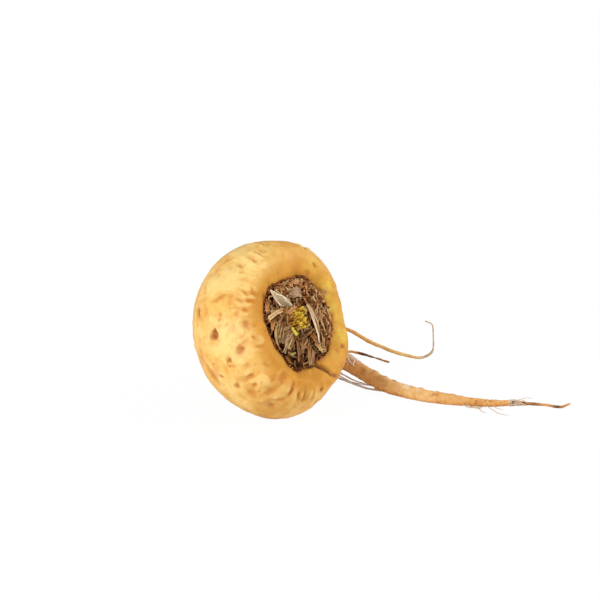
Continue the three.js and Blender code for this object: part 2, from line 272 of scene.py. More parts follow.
def noise(points, size, seed=0):
    """Smooth noise from -1 to 1 whose lumps measure about `size`."""
    scaled = np.asarray(points, float) / size
    cell = np.floor(scaled).astype(np.int64)
    t = scaled - cell
    t = t * t * t * (t * (6 * t - 15) + 10)
    total = 0
    for corner in range(8):
        step = np.array((corner & 1, corner >> 1 & 1, corner >> 2 & 1))
        weight = np.prod(np.where(step, t, 1 - t), axis=-1)
        x, y, z = np.moveaxis(cell + step, -1, 0)
        total = total + weight * hashed(x, y, z, seed)
    return total


def noise_over(a, b, c, seed, size=1.0):
    """Noise over three measures that stand in for x, y and z."""
    return noise(columns(a, b, c), size, seed)


def vary(index, purpose):
    """A repeatable number from -1 to 1 for a piece and a purpose."""
    wave = math.sin(index * 12.9898 + purpose * 78.233) * 43758.5453
    return 2 * (wave - math.floor(wave)) - 1


# ------------------------------------------------------------ modelling tools


def nothing_selected():
    if bpy.context.mode != "OBJECT":
        bpy.ops.object.mode_set(mode="OBJECT")
    bpy.ops.object.select_all(action="DESELECT")


def only(piece):
    nothing_selected()
    piece.select_set(True)
    bpy.context.view_layer.objects.active = piece


def edit_all():
    bpy.ops.object.mode_set(mode="EDIT")
    bpy.ops.mesh.select_all(action="SELECT")


def leave_editing():
    bpy.ops.object.mode_set(mode="OBJECT")


def named(piece, name):
    piece.name = piece.data.name = name
    return piece


def just_added():
    """The new primitive, its place and turn moved into its points."""
    bpy.ops.object.transform_apply(location=True, rotation=True, scale=True)
    return bpy.context.object


def in_scene(name, data):
    piece = bpy.data.objects.new(name, data)
    bpy.context.scene.collection.objects.link(piece)
    return piece


def vectors_of(items, key):
    """The vector that each vertex or normal keeps, one to a row."""
    flat = np.empty(len(items) * 3, np.float32)
    items.foreach_get(key, flat)
    return flat.reshape(-1, 3).astype(float)


def points_of(piece):
    return vectors_of(piece.data.vertices, "co") / MM


def move_points(piece, points):
    piece.data.vertices.foreach_set("co", (points * MM).astype(np.float32).ravel())
    piece.data.update()


def normals_of(piece):
    return vectors_of(piece.data.vertex_normals, "vector")


def above_table(points, height):
    """The points, none of them lower than a height."""
    points[:, 2] = np.maximum(points[:, 2], height)
    return points


def set_colour(piece, name, colours):
    """Keeps a colour, or three masks, at every point of the piece."""
    layer = piece.data.color_attributes.get(name)
    if layer is None:
        layer = piece.data.color_attributes.new(name, "FLOAT_COLOR", "POINT")
    values = np.ones((len(piece.data.vertices), 4), np.float32)
    values[:, :3] = colours
    layer.data.foreach_set("color", values.ravel())


def apply_modifier(piece, kind, **settings):
    only(piece)
    modifier = piece.modifiers.new(kind.title(), kind)
    for key, value in settings.items():
        setattr(modifier, key, value)
    bpy.ops.object.modifier_apply(modifier=modifier.name)


def subdivide(piece, levels):
    apply_modifier(piece, "SUBSURF", levels=levels, render_levels=levels)


def smooth_shaded(piece):
    only(piece)
    bpy.ops.object.shade_smooth()


def normals_outwards(piece):
    only(piece)
    edit_all()
    bpy.ops.mesh.remove_doubles(threshold=WELD * MM)
    bpy.ops.mesh.normals_make_consistent(inside=False)
    leave_editing()


def joined(pieces, name):
    nothing_selected()
    for piece in pieces:
        piece.select_set(True)
    bpy.context.view_layer.objects.active = pieces[0]
    bpy.ops.object.join()
    return named(pieces[0], name)


def copy_of(piece, name):
    only(piece)
    bpy.ops.object.duplicate()
    return named(bpy.context.view_layer.objects.active, name)


def discard(piece):
    only(piece)
    bpy.ops.object.delete()


def grow(line, rings):
    """Extrudes the selected end face of the mesh in edit mode along a centre
    line of [x, y, z, radius] points, turning and narrowing with it."""
    samples = spline(line, np.linspace(0, 1, rings + 1), even=False)
    centres = samples[:, :3] * MM
    forwards = unit(np.gradient(centres, axis=0))
    for i in range(rings):
        step = Vector(centres[i + 1] - centres[i])
        bend = Vector(forwards[i]).rotation_difference(Vector(forwards[i + 1]))
        bpy.ops.mesh.extrude_region_move(TRANSFORM_OT_translate={"value": step})
        for axis, angle in zip("XYZ", bend.to_euler("XYZ")):
            bpy.ops.transform.rotate(
                value=-angle, orient_axis=axis, center_override=centres[i + 1]
            )
        size = samples[i + 1, 3] / samples[i, 3]
        bpy.ops.transform.resize(value=(size,) * 3, center_override=centres[i + 1])


def grown_root(name, line, sides, rings):
    """A round root along a centre line, starting at a disc at its first point."""
    nothing_selected()
    samples = spline(line, np.linspace(0, 1, rings + 1), even=False)
    forward = Vector(samples[1, :3] - samples[0, :3])
    bpy.ops.mesh.primitive_circle_add(
        vertices=sides, radius=line[0][3] * MM, fill_type="TRIFAN",
        location=Vector(line[0][:3]) * MM,
        rotation=forward.to_track_quat("Z", "Y").to_euler(),
    )
    piece = named(just_added(), name)
    edit_all()
    grow(line, rings)
    leave_editing()
    normals_outwards(piece)
    return piece


# ------------------------------------------------------------------- the root


def model_body():
    """Body and taproot as one skin, from the crater's middle to the knot."""
    nothing_selected()
    profile = spline(OUTLINE, np.linspace(0, 1, BODY_RINGS + 1)) * BODY_RADIUS
    bpy.ops.mesh.primitive_circle_add(
        vertices=SIDES, radius=profile[0, 0] * MM, fill_type="TRIFAN",
        location=(0, 0, profile[0, 1] * MM),
    )
    body = just_added()
    edit_all()
    for here, there in zip(profile, profile[1:]):
        bpy.ops.mesh.extrude_region_move(
            TRANSFORM_OT_translate={"value": (0, 0, (there[1] - here[1]) * MM)}
        )
        share = there[0] / here[0]
        bpy.ops.transform.resize(
            value=(share, share, 1), center_override=(0, 0, there[1] * MM)
        )
    leave_editing()

    # from the upright lathe shape to the squeezed and swollen body in place
    x, y, along = points_of(body).T
    radius = np.hypot(x, y)
    gaps = (PROFILE[:, 0] - radius[:, None]) ** 2 + (PROFILE[:, 1] - along[:, None]) ** 2
    slope = unit(np.gradient(PROFILE, axis=0))[np.argmin(gaps, axis=1)]
    move_points(body, swollen(radius, np.arctan2(y, x), along, slope.T))

    end_radius, end_along = profile[-1]
    neck = crown_point(0.0, 0.0, end_along)
    bpy.ops.object.mode_set(mode="EDIT")
    grow([(*neck, end_radius), *TAPROOT], TAPROOT_RINGS)
    leave_editing()
    normals_outwards(body)
    subdivide(body, 1)
    apply_modifier(body, "REMESH", mode="VOXEL", voxel_size=SKIN_VOXEL * MM)
    apply_modifier(body, "SMOOTH", factor=0.5, iterations=6)
    return body


# Marks of the skin. A spot is a turn about the axis in degrees and a place along
# OUTLINE, from 0 at the crater's middle past 6 at the rim to 17 at the root cone.

# Pits: spot, radius, depth, how brown.
PITS = [
    ((171, 10.45), 1.25, 1.2, 1.0), ((-174, 8.9), 1.15, 0.5, 0.6),
    ((162.5, 9.85), 0.55, 0.35, 0.55), ((-152.5, 10.5), 0.7, 0.4, 0.85),
    ((172.5, 7.1), 0.6, 0.15, 0.35), ((127, 8.5), 0.7, 0.1, 0.3), ((160.5, 8.4), 0.8, 0.25, 0.4),
    ((-138, 7.4), 1.2, 0.15, 0.5), ((-91.5, 7.75), 0.7, 0.3, 0.9), ((-49.5, 5.4), 0.8, 0.25, 0.7),
    ((-42, 6.0), 0.75, 0.25, 0.85), ((18, 4.7), 0.7, 0.15, 0.45), ((-171, 11.4), 0.5, 0.2, 0.35),
    ((-60, 7.2), 0.7, 0.2, 0.5), ((-170, 9.95), 0.95, 0.6, 0.65), ((-166.5, 10.15), 0.5, 0.3, 0.5),
]
# Folds: height, hollow below 0, width, how brown, spots. The brown of hollow folds is painted shade, and the
# scars' brown is their own.
FOLDS = [
    # slanting ridges of the upper left, and the hollows between them
    (0.5, 0.5, 0, (104.5, 8.9), (106.5, 8.25), (108, 7.6)),
    (-0.38, 0.6, 0.3, (103.5, 8.65), (104, 7.95), (105.5, 7.25)),
    (-0.42, 0.8, 0.35, (110, 8.8), (112.5, 8.05), (113.5, 7.3)),
    (0.55, 0.65, 0, (110, 9.4), (114, 8.6), (118.5, 7.7)),
    (-0.38, 0.8, 0.3, (117.5, 9.25), (122.5, 8.7), (127.5, 8.2)),
    (0.35, 0.45, 0, (121, 9.3), (125.5, 8.5)), (0.35, 0.7, 0, (97.5, 10.2), (91.5, 9.6), (93.5, 8.4)),
    (-0.24, 0.4, 0.25, (98.5, 8.8), (102, 7.7)), (0.38, 0.4, 0, (100, 8.7), (104, 7.65)),
    (-0.22, 0.4, 0.2, (92, 9.4), (96, 8.7)), (0.26, 0.4, 0, (97, 9.6), (92, 8.8)),
    (0.25, 0.4, 0, (86, 9.4), (89, 8.6)), (-0.2, 0.4, 0.1, (83, 9.2), (85, 8.5)),
    # upper edge of the left bulge, and the folds between it and the crater
    (-0.4, 0.9, 0.22, (150, 10.9), (147, 10.1), (145, 9.45), (147.5, 8.7)),
    (-0.2, 1.2, 0.06, (130, 11.7), (142, 11.3), (157, 10.9)),
    (-0.45, 0.5, 0.35, (144, 7.75), (144.5, 6.85), (146.5, 4.9)),
    (0.45, 0.6, 0, (147.5, 7.7), (148.5, 6.6)), (-0.45, 0.5, 0.35, (150, 7.6), (153.5, 6.2)),
    (0.4, 0.6, 0, (153, 8.4), (157, 7.4)), (-0.4, 0.5, 0.3, (155.5, 8.3), (160, 7.3)),
    (0.35, 0.5, 0, (161, 8.2), (164, 7.4)), (-0.45, 1.1, 0.5, (166, 7.7), (174, 7.95)),
    (-0.45, 0.5, 0.3, (180, 7.6), (183.5, 7.27)), (0.45, 0.6, 0, (180.5, 6.95), (188, 6.4)),
    (-0.4, 0.6, 0.3, (188, 7.7), (192.5, 6.8)), (-0.3, 0.5, 0.35, (202.5, 7.84), (208, 7.6)),
    (0.35, 0.35, 0, (139, 7.6), (146, 7.0)), (0.4, 0.38, 0, (143, 8.3), (151.5, 7.5)),
    (0.38, 0.36, 0, (149, 8.8), (157, 7.95)), (-0.3, 0.3, 0.3, (141.5, 8.0), (148.5, 7.3)),
    (-0.3, 0.3, 0.3, (146.5, 8.6), (154, 7.75)), (-0.25, 0.3, 0.2, (138, 7.3), (143.5, 6.8)),
    # upright slits of the left side
    (-0.7, 0.75, 0.95, (149, 11.7), (156.5, 11.7)), (-0.35, 0.45, 0.35, (155, 9.7), (162, 9.8)),
    (-0.3, 0.7, 0.3, (193, 10.3), (195, 9.7)), (-0.45, 0.4, 0.6, (196.5, 11.3), (199, 11.1)),
    (-0.25, 1.1, 0.3, (186, 12.2), (197.5, 11.9), (205, 11.6)),
    # lower lobe
    (-0.4, 0.5, 0.22, (206.5, 9.6), (206, 8.9)), (-0.35, 0.5, 0.22, (212.5, 9.65), (212.5, 9.2)),
    (0.3, 0.6, 0, (209.5, 9.8), (209, 9.0)), (-0.4, 0.9, 0.4, (214.5, 7.7), (220.5, 8.3)),
    (0.5, 1.6, 0, (211, 8.3), (216, 9.3)), (-0.4, 2.2, 0.04, (217, 10.5), (222, 9.3), (230, 8.8), (236, 8.5)),
    (0.5, 1.5, 0, (226, 8.9), (231, 9.3)), (-0.35, 0.9, 0.25, (228, 9.8), (236.5, 9.8)),
    (-0.45, 0.5, 0.45, (232, 6.95), (236, 7.9), (237.5, 8.7)),
    (0.35, 0.6, 0, (239, 7.4), (243, 8.6)), (-0.32, 0.45, 0.3, (240.5, 7.5), (248, 8.85)),
    (-0.45, 0.45, 0.5, (246.5, 7.05), (250, 8.2), (251.5, 8.9)),
    (0.35, 0.6, 0, (254, 7.3), (256, 8.5)), (-0.35, 0.5, 0.35, (259.5, 7.95), (259.5, 8.8)),
    (-0.3, 0.6, 0.3, (266, 8.6), (270, 9.6)),
    # scars above the crater
    (-0.45, 0.4, 0.75, (49, 6.3), (42.5, 5.95)), (-0.25, 0.6, 0.7, (55, 5.1), (46.5, 4.5)),
    (-0.3, 0.5, 0.3, (72, 8.4), (78, 9.3)), (-0.25, 0.6, 0.2, (60, 7.6), (66, 8.6)),
]
CREASE = [
    (-97, 12.0, 10.4), (-92, 13.0, 11.0), (-87, 14.8, 11.8), (-79, 16.8, 12.3),
    (-77, 18.6, 12.2), (-70, 20.3, 11.4), (-66, 21.6, 10.2),
]
# Stains: turn, place, spread, how strong.
STAINS = {
    "green": [
        (12, 4.7, 1.7, 0.8), (0, 5.0, 1.9, 0.9), (-12, 5.4, 1.6, 0.6), (22, 5.6, 2.8, 0.65),
        (-30, 5.8, 3.0, 0.75), (-55, 6.0, 3.0, 0.4), (-12, 7.0, 3.2, 0.6), (48, 6.0, 3.0, 0.35),
        (-75, 6.2, 2.0, 0.3),
    ],
    "grey": [(18, 4.7, 0.75, 0.8), (230, 9.8, 2.0, 0.25)],
    "red": [
        (-57, 6.7, 2.8, 0.35), (50, 4.8, 1.2, 0.5), (-42, 6.0, 0.7, 0.6), (-50, 5.4, 0.8, 0.3),
        (-139, 7.5, 1.3, 0.6), (-174, 8.9, 1.6, 0.5), (-125, 7.4, 1.4, 0.35), (171, 9.0, 1.6, 0.3),
        (159, 7.9, 2.0, 0.35), (149, 11.7, 2.2, 0.3), (173, 10.5, 2.4, 0.25), (147, 8.2, 1.4, 0.3),
        (-177.5, 12.2, 1.8, 0.45),
    ],
}
# Patches of lumpy and wrinkled skin: spot, spread, lumps' height, wrinkles'.
PATCHES = [
    ((112, 9), 7, 0.04, 0.26), ((152, 7.5), 5, 0.06, 0.2), ((-140, 9), 8, 0.27, 0.16),
    ((-112, 8.5), 6, 0.08, 0.2), ((-175, 8), 5, 0.1, 0.16), ((165, 10.5), 8, 0.2, 0.04),
    ((20, 9.5), 8, 0.06, 0.18), ((-60, 9.5), 9, 0.16, 0.12), ((70, 12), 10, 0.1, 0.16),
    ((0, 13), 9, 0.14, 0.12), ((-100, 13), 9, 0.16, 0.1), ((150, 14), 9, 0.14, 0.14),
]


def unseen_marks():
    """More pits and folds of the same kinds for the sides and the back."""
    random = np.random.default_rng(3)
    pits, folds = [], []
    for i in range(UNSEEN_MARKS):
        turn, place = random.uniform(-95, 95), random.uniform(7.6, 15.5)
        if i % 2:
            turn, place = random.uniform(-180, 180), random.uniform(12.7, 15.5)
        size, brown = random.uniform(0.4, 0.9), random.uniform(0.2, 0.9)
        if i % 4 == 0:
            pits.append(((turn, place), size, 0.6 * size, brown))
        else:
            height = random.uniform(-0.5, -0.25) if i % 3 else random.uniform(0.2, 0.4)
            slant, run = random.normal(0, 5), random.uniform(0.5, 1.3)
            folds.append((
                # Only hollow folds are browned: painted shade.
                height, size, 0.6 * brown if height < 0 else 0, (turn, place),
                (turn + slant, place + run),
            ))
    return pits, folds


def polyline_distance(points, line):
    """Distance of each point from a line of corners, and the share along it."""
    best = np.full(len(points), 1e9)
    share = np.zeros(len(points))
    for i, (start, end) in enumerate(zip(line, line[1:])):
        along = end - start
        t = np.clip((points - start) @ along / (along @ along), 0, 1)
        away = np.linalg.norm(points - start - t[:, None] * along, axis=1)
        nearer = away < best
        best = np.where(nearer, away, best)
        share = np.where(nearer, (i + t) / (len(line) - 1), share)
    return best, share


def in_crown_frame(points):
    """Radius, turn and distance along the axis of points in place."""
    off = points - CENTRE
    along = off @ AXIS
    sideways, upwards = off @ ACROSS, off @ UPWARDS
    radius = np.hypot(sideways / BODY_SQUEEZE, upwards)
    for _ in range(6):
        squeeze = squeeze_at(radius, along)
        turn = np.arctan2(upwards, sideways / squeeze)
        radius = np.hypot(sideways / squeeze, upwards) / reach_at(radius, turn, along)
    return radius, turn, along


# Knots along the top of the taproot: how far along it, how brown.
KNOTS = [
    (29.8, 0.6), (32.2, 0.7), (35.2, 0.9), (42.4, 0.5), (47.5, 0.6), (51.0, 0.7), (54.6, 0.6),
]
# The key lamp's side: skin turned away from it is painted golden, a painted shade.
PAINTED_LIT_SIDE = np.array((-0.68, -0.64, 0.5))  # the way the paler skin faces


class Skin:
    """The body's skin: its points, how far each is raised, and how brown and
    how dark it is."""

    def __init__(self, body):
        self.points, self.normals = points_of(body), normals_of(body)
        self.radius, self.turn, self.along = in_crown_frame(self.points)
        shares = np.linspace(0, 1, 60)
        self.taproot = spline(TAPROOT, shares, even=False)
        off, self.down_root = polyline_distance(self.points, self.taproot[:, :3])
        self.thickness = np.interp(self.down_root, shares, self.taproot[:, 3])
        self.on_root = 1 - ease(off - self.thickness, 0.8, 3.5)
        self.on_root *= ease(self.down_root, 0, 0.07)
        self.ragged = self.radius + 0.7 * self.noise(1.6, 6) + 0.4 * self.noise(0.7, 16)
        self.ragged += 0.8 * at_bottom(np.degrees(self.turn))
        self.in_crater = 1 - ease(self.ragged, CRATER_RADIUS, 13.7)
        self.in_crater *= ease(self.along, 4, 8)
        self.on_body = (1 - self.on_root) * (1 - self.in_crater)
        self.rise, self.brown, self.dark = np.zeros((3, len(self.points)))

    def noise(self, size, seed):
        return noise(self.points, size, seed)

    def mark(self, brown, dark=0.0, near=slice(None)):
        """Makes the skin at least as brown and as dark as this."""
        self.brown[near] = np.maximum(self.brown[near], brown)
        self.dark[near] = np.maximum(self.dark[near], dark)


def add_wrinkles(skin):
    """Broad lumps, wrinkles that run towards the crown, and fine specks."""
    lumpy, wrinkled = np.full((2, len(skin.points)), 0.04)
    for spot, spread, lumps, wrinkles in PATCHES:
        shown = bell(away_from(skin.points, on_skin(*spot)) / spread)
        lumpy += lumps * shown
        wrinkled += wrinkles * shown
    tilt = np.arctan2(skin.along, skin.radius)
    rays = columns(skin.turn * 25 / 2.0, tilt * 25 / 6.5, 0.0)
    bent = 0.7 * skin.noise(5, 3)[:, None]
    wrinkle = noise(rays + bent, 1.0, 4)
    stroke = noise(rays * (1.8, 1.8, 1) + 1.6 * bent, 1.0, 24)
    skin.rise += 0.26 * skin.noise(8, 1) + 0.1 * skin.noise(4, 2)
    skin.rise += lumpy * (skin.noise(3.0, 17) + 0.5 * skin.noise(1.6, 18))
    skin.rise += wrinkled * (0.8 * wrinkle - 0.6 * bell(wrinkle / 0.22))
    skin.rise += 0.7 * wrinkled * stroke + 0.05 * skin.noise(1.2, 5)
    speckled = ease(skin.noise(0.9, 25), 0.65, 0.85) * ease(skin.noise(6, 26), -0.3, 0.4)
    skin.rise -= 0.08 * speckled
    skin.mark(0.3 * speckled)


def add_pits(skin, pits):
    for i, (spot, size, depth, tone) in enumerate(pits):
        away = away_from(skin.points, on_skin(*spot))
        near = np.flatnonzero(away < 4 * size)
        around = skin.points[near]
        q = away[near] / size * (1 + 0.3 * noise(around, 1.0, 20 + i))
        bank = np.exp(-((q - 1.5) ** 2) / 0.2)
        skin.rise[near] -= depth * (np.exp(-(q**3)) - 0.2 * bank)
        worn = 0.8 + 0.5 * noise(around, 0.7, 21)
        halo = tone * np.exp(-((q / 1.2) ** 3)) * worn
        skin.mark(halo, max(tone - 0.5, 0) * 1.8 * bell(q / 0.7) * worn, near)


def add_folds(skin, folds):
    for i, (height, width, tone, *spots) in enumerate(folds):
        shares = np.linspace(0, len(spots) - 1, 5 * len(spots))
        corners = np.arange(len(spots))
        line = on_skin(*(np.interp(shares, corners, side) for side in np.array(spots, float).T))
        middle = line.mean(axis=0)
        reach = away_from(line, middle).max() + 4 * width
        near = np.flatnonzero(away_from(skin.points, middle) < reach)
        around = skin.points[near]
        away, share = polyline_distance(around, line)
        q = away / width * (1 + 0.3 * noise(around, 1.4, 70 + i))
        taper = np.sin(np.pi * np.clip(share, 0.02, 0.98)) ** 0.8
        skin.rise[near] += height * taper * (bell(q) - 0.3 * bell(q - 2))
        worn = taper * (0.8 + 0.5 * noise(around, 0.7, 22))
        core = max(tone - 0.45, 0) * 1.5 * worn * bell(q / 0.6)
        # Brown and dark along the hollow folds: painted shade in the hollows.
        skin.mark(tone * worn * bell(q / 1.3), core, near)


def add_crease(skin):
    """The crease that runs from the crater's lower edge to the right."""
    crease = np.array([crown_point(r, math.radians(t), h) for t, r, h in CREASE])
    away, share = polyline_distance(skin.points, crease)
    strong = 1 - ease(share, 0.35, 1.0)
    skin.rise -= (0.25 + 0.7 * strong) * bell(away / 0.55)
    skin.rise += 0.25 * bell((away - 1.5) / 0.7) * skin.on_body
    # Painted shade along the crease: browner and darker.
    skin.mark(
        0.6 * bell(away / 1.1) * (0.4 + 0.6 * strong),
        bell(away / 0.45) * (0.55 + 0.45 * strong),
    )


def roughen_crater(skin):
    """Crumbly floor and wall, an uneven and rusty lip, and painted shade that browns the limb facing right.
    """
    skin.rise += skin.in_crater * (0.35 * skin.noise(1.1, 7) + 0.25 * skin.noise(0.6, 8))
    open_end = ease(skin.along, 6, 9)
    lip = bell((skin.radius - 14.8) / 1.3) * open_end
    skin.rise += lip * 0.4 * noise_over(skin.turn * 8, 0, 0, 9, 1.6)
    rusty = 0.8 * bell((skin.ragged - 13.6) / 0.75) * open_end
    skin.mark(rusty * (0.7 + 0.5 * skin.noise(1.2, 19)))
    # Painted shade: the limb that faces right is browner.
    skin.mark(0.3 * skin.on_body * ease(skin.normals[:, 0], 0.7, 1))


def roughen_taproot(skin):
    """Rings across the taproot, bumps, scars, knots and brown places, with painted shade browning its
    underside.
    """
    on_root, x, upward = skin.on_root, skin.points[:, 0], skin.normals[:, 2]
    lengthwise = skin.down_root * 140
    off = skin.points - CENTRE
    spin = np.arctan2(off @ UPWARDS, off @ ACROSS)
    ring = noise_over(lengthwise, spin * 1.2, 0, 10, 1.3)
    scar = noise_over(lengthwise / 1.2, spin * 9, skin.points[:, 2], 13)
    skin.rise += on_root * np.minimum(skin.thickness / 2.4, 1) * (
        0.1 * ring + 0.3 * skin.noise(3.6, 11) + 0.14 * skin.noise(1.4, 12)
        - 0.25 * ease(scar, 0.55, 0.8)
    )
    brown_and_underside_shade = 0.34 * (1 - ease(x, 26, 38)) + 0.5 * ease(x, 42, 56)
    # Painted shade: the taproot's underside is browner.
    brown_and_underside_shade += 0.6 * ease(-upward, -0.25, 0.6) * (0.8 + 0.4 * skin.noise(1.2, 28))
    skin.mark(on_root * brown_and_underside_shade)
    scarred = on_root * ease(x, 34, 42)
    skin.mark(scarred * 0.7 * ease(scar, 0.55, 0.8), scarred * 0.25 * ease(scar, 0.65, 0.85))
    skin.mark(0.5 * ease(x, 64, 67.5))
    for knot_x, tone in KNOTS:
        nearest = np.argmin(abs(skin.taproot[:, 0] - knot_x))
        away = away_from(skin.points, skin.taproot[nearest, :3] + (0, 0.7, 1.9))
        skin.rise += 0.35 * bell(away / 0.8) * on_root
        skin.mark(tone * bell(away / 0.7) * on_root, 0.6 * tone * bell(away / 0.45) * on_root)


def scraped_place(skin):
    """1 where the top of the taproot is scraped pale."""
    x, upward = skin.points[:, 0], skin.normals[:, 2]
    scraped = np.exp(-(((x - 39.2) / 3.4) ** 4)) * ease(upward, 0.35, 0.8) * skin.on_root
    return scraped * ease(skin.noise(1.6, 29), -0.6, 0.2)


def stained(skin):
    """How green, grey and red each point is."""
    stains = np.zeros((len(skin.points), 3))
    uneven = 1 + 0.5 * skin.noise(0.9, 27)
    for tone, spots in enumerate(STAINS.values()):
        for turn, place, spread, share in spots:
            shown = bell(away_from(skin.points, on_skin(turn, place)) / spread) * uneven
            stains[:, tone] = np.maximum(stains[:, tone], share * shown)
    return stains * (1 - skin.in_crater)[:, None]


def weather_skin(body):
    """Raises the wrinkles, pits and creases of the skin, and keeps the masks
    that colour it."""
    skin = Skin(body)
    more_pits, more_folds = unseen_marks()
    add_wrinkles(skin)
    add_pits(skin, PITS + more_pits)
    add_folds(skin, FOLDS + more_folds)
    skin.rise *= skin.on_body
    add_crease(skin)
    roughen_crater(skin)
    roughen_taproot(skin)
    scraped = scraped_place(skin)
    skin.brown *= 1 - scraped
    lifted = skin.rise * ease(skin.points[:, 2], 0.05, 0.9)
    move_points(body, above_table(skin.points + lifted[:, None] * skin.normals, 0))

    near_rim = (1 - ease(skin.radius, 15.5, 19)) * ease(skin.along, 0, 6)
    # relief paints a highlight on raised skin and shade in its hollows; the taproot's pale scrape shares the
    # mask.
    relief = np.clip(0.5 + 0.9 * skin.rise * (1 - near_rim), 0, 1) * (1 - skin.in_crater)
    set_colour(body, "marks", columns(skin.brown, skin.dark, np.maximum(relief, scraped)))
    set_colour(body, "stains", stained(skin))
    golden = 1 - ease(skin.radius + 1.8 * np.sin(skin.turn), 18, 23.5)
    golden *= ease(skin.along, 0, 6)
    # Painted shade: skin turned away from the key lamp's side is painted golden.
    golden = np.maximum(golden, 0.65 * (1 - ease(skin.normals @ PAINTED_LIT_SIDE, 0.25, 0.9)))
    # Painted shade: the limb that faces left is painted golden too.
    golden = np.maximum(golden, 0.5 * ease(-skin.normals[:, 0], 0.8, 1))
    set_colour(body, "zones", columns(skin.in_crater, skin.on_root, golden))


def tail_masks(x, speckled, knot):
    """How brown, dark and pale the taproot's tail is along x."""
    brown = ease(x, 67, 72) * (1 - 0.5 * ease(x, 83, 84.5)) * (0.7 + 0.3 * speckled)
    dark = 0.8 * knot * speckled
    for middle, width, tone in ((68.5, 0.6, 0.7), (74, 2.0, 0.7), (80.7, 1.4, 0.9)):
        dark += tone * bell((x - middle) / width)
    return brown, dark, 0.5 + 0.5 * knot * (1 - speckled)


def long_masks(share, speckled, underside):
    """How brown, dark and pale the long side root is along its length, with painted shade browning its
    underside.
    """
    brown = 0.7 - 0.6 * ease(share, 0.3, 0.95) + 0.2 * speckled * (1 - share)
    # Painted shade: the underside is browner near the base.
    brown += 0.3 * underside * (1 - share)
    return brown, 0.0, 0.4 + 0.6 * ease(share, 0.85, 1)


def short_masks(share, speckled):
    """How brown, dark and pale the short side root is along its length."""
    brown = 0.5 + 0.5 * ease(share, 0.5, 0.65) * (0.7 + 0.3 * speckled)
    brown = np.maximum(brown, 0.8 * (1 - ease(share, 0.2, 0.3)))
    dark = 0.75 * ease(share, 0.56, 0.64) - 0.35 * ease(share, 0.78, 0.95)
    return brown, dark + 0.3 * bell((share - 0.68) / 0.05), 0.5


def thin_root(name, line, rings):
    """The tail or a side root, uneven, with the masks that colour it."""
    root = grown_root(name, line, THIN_SIDES, rings)
    subdivide(root, 1)
    points = points_of(root)
    x, height = points[:, 0], points[:, 2]
    thick = 0.1 * noise(points, 1.4, 14) + 0.05 * noise(points, 0.6, 15)
    knot = ease(x, 66.5, 67.6) * (1 - ease(x, 70.5, 72.5))
    if name == "tail":
        thick += 0.07 + knot * (0.3 + 0.3 * noise(points, 0.8, 30))
    elif name == "long_side_root":
        thick -= 0.09 * ease(height, 2, 6) * ease(x, 43.5, 45)
    points = above_table(points + thick[:, None] * normals_of(root), 0.02)
    move_points(root, points)
    x = points[:, 0]
    share = np.clip((x - line[0][0]) / (line[-1][0] - line[0][0]), 0, 1)
    speckled = ease(noise(points, 0.9, 23), 0.1, 0.6)
    green, grey = 0.3 * (1 - ease(share, 0.9, 1)), 0.0
    if name == "tail":
        masks, green = tail_masks(x, speckled, knot), 0.0
    elif name == "long_side_root":
        masks = long_masks(share, speckled, ease(-normals_of(root)[:, 2], 0, 0.8))
        grey = 0.4 * ease(share, 0.94, 1)
    else:
        masks = short_masks(share, speckled)
    set_colour(root, "stains", columns(green, grey, 0 * share))
    set_colour(root, "marks", columns(*masks))
    set_colour(root, "zones", (0, 1, 0))
    return root


def model_root():
    body = model_body()
    weather_skin(body)
    root = joined([body, *(thin_root(*row) for row in THIN_ROOTS)], "maca_root")
    smooth_shaded(root)
    return root


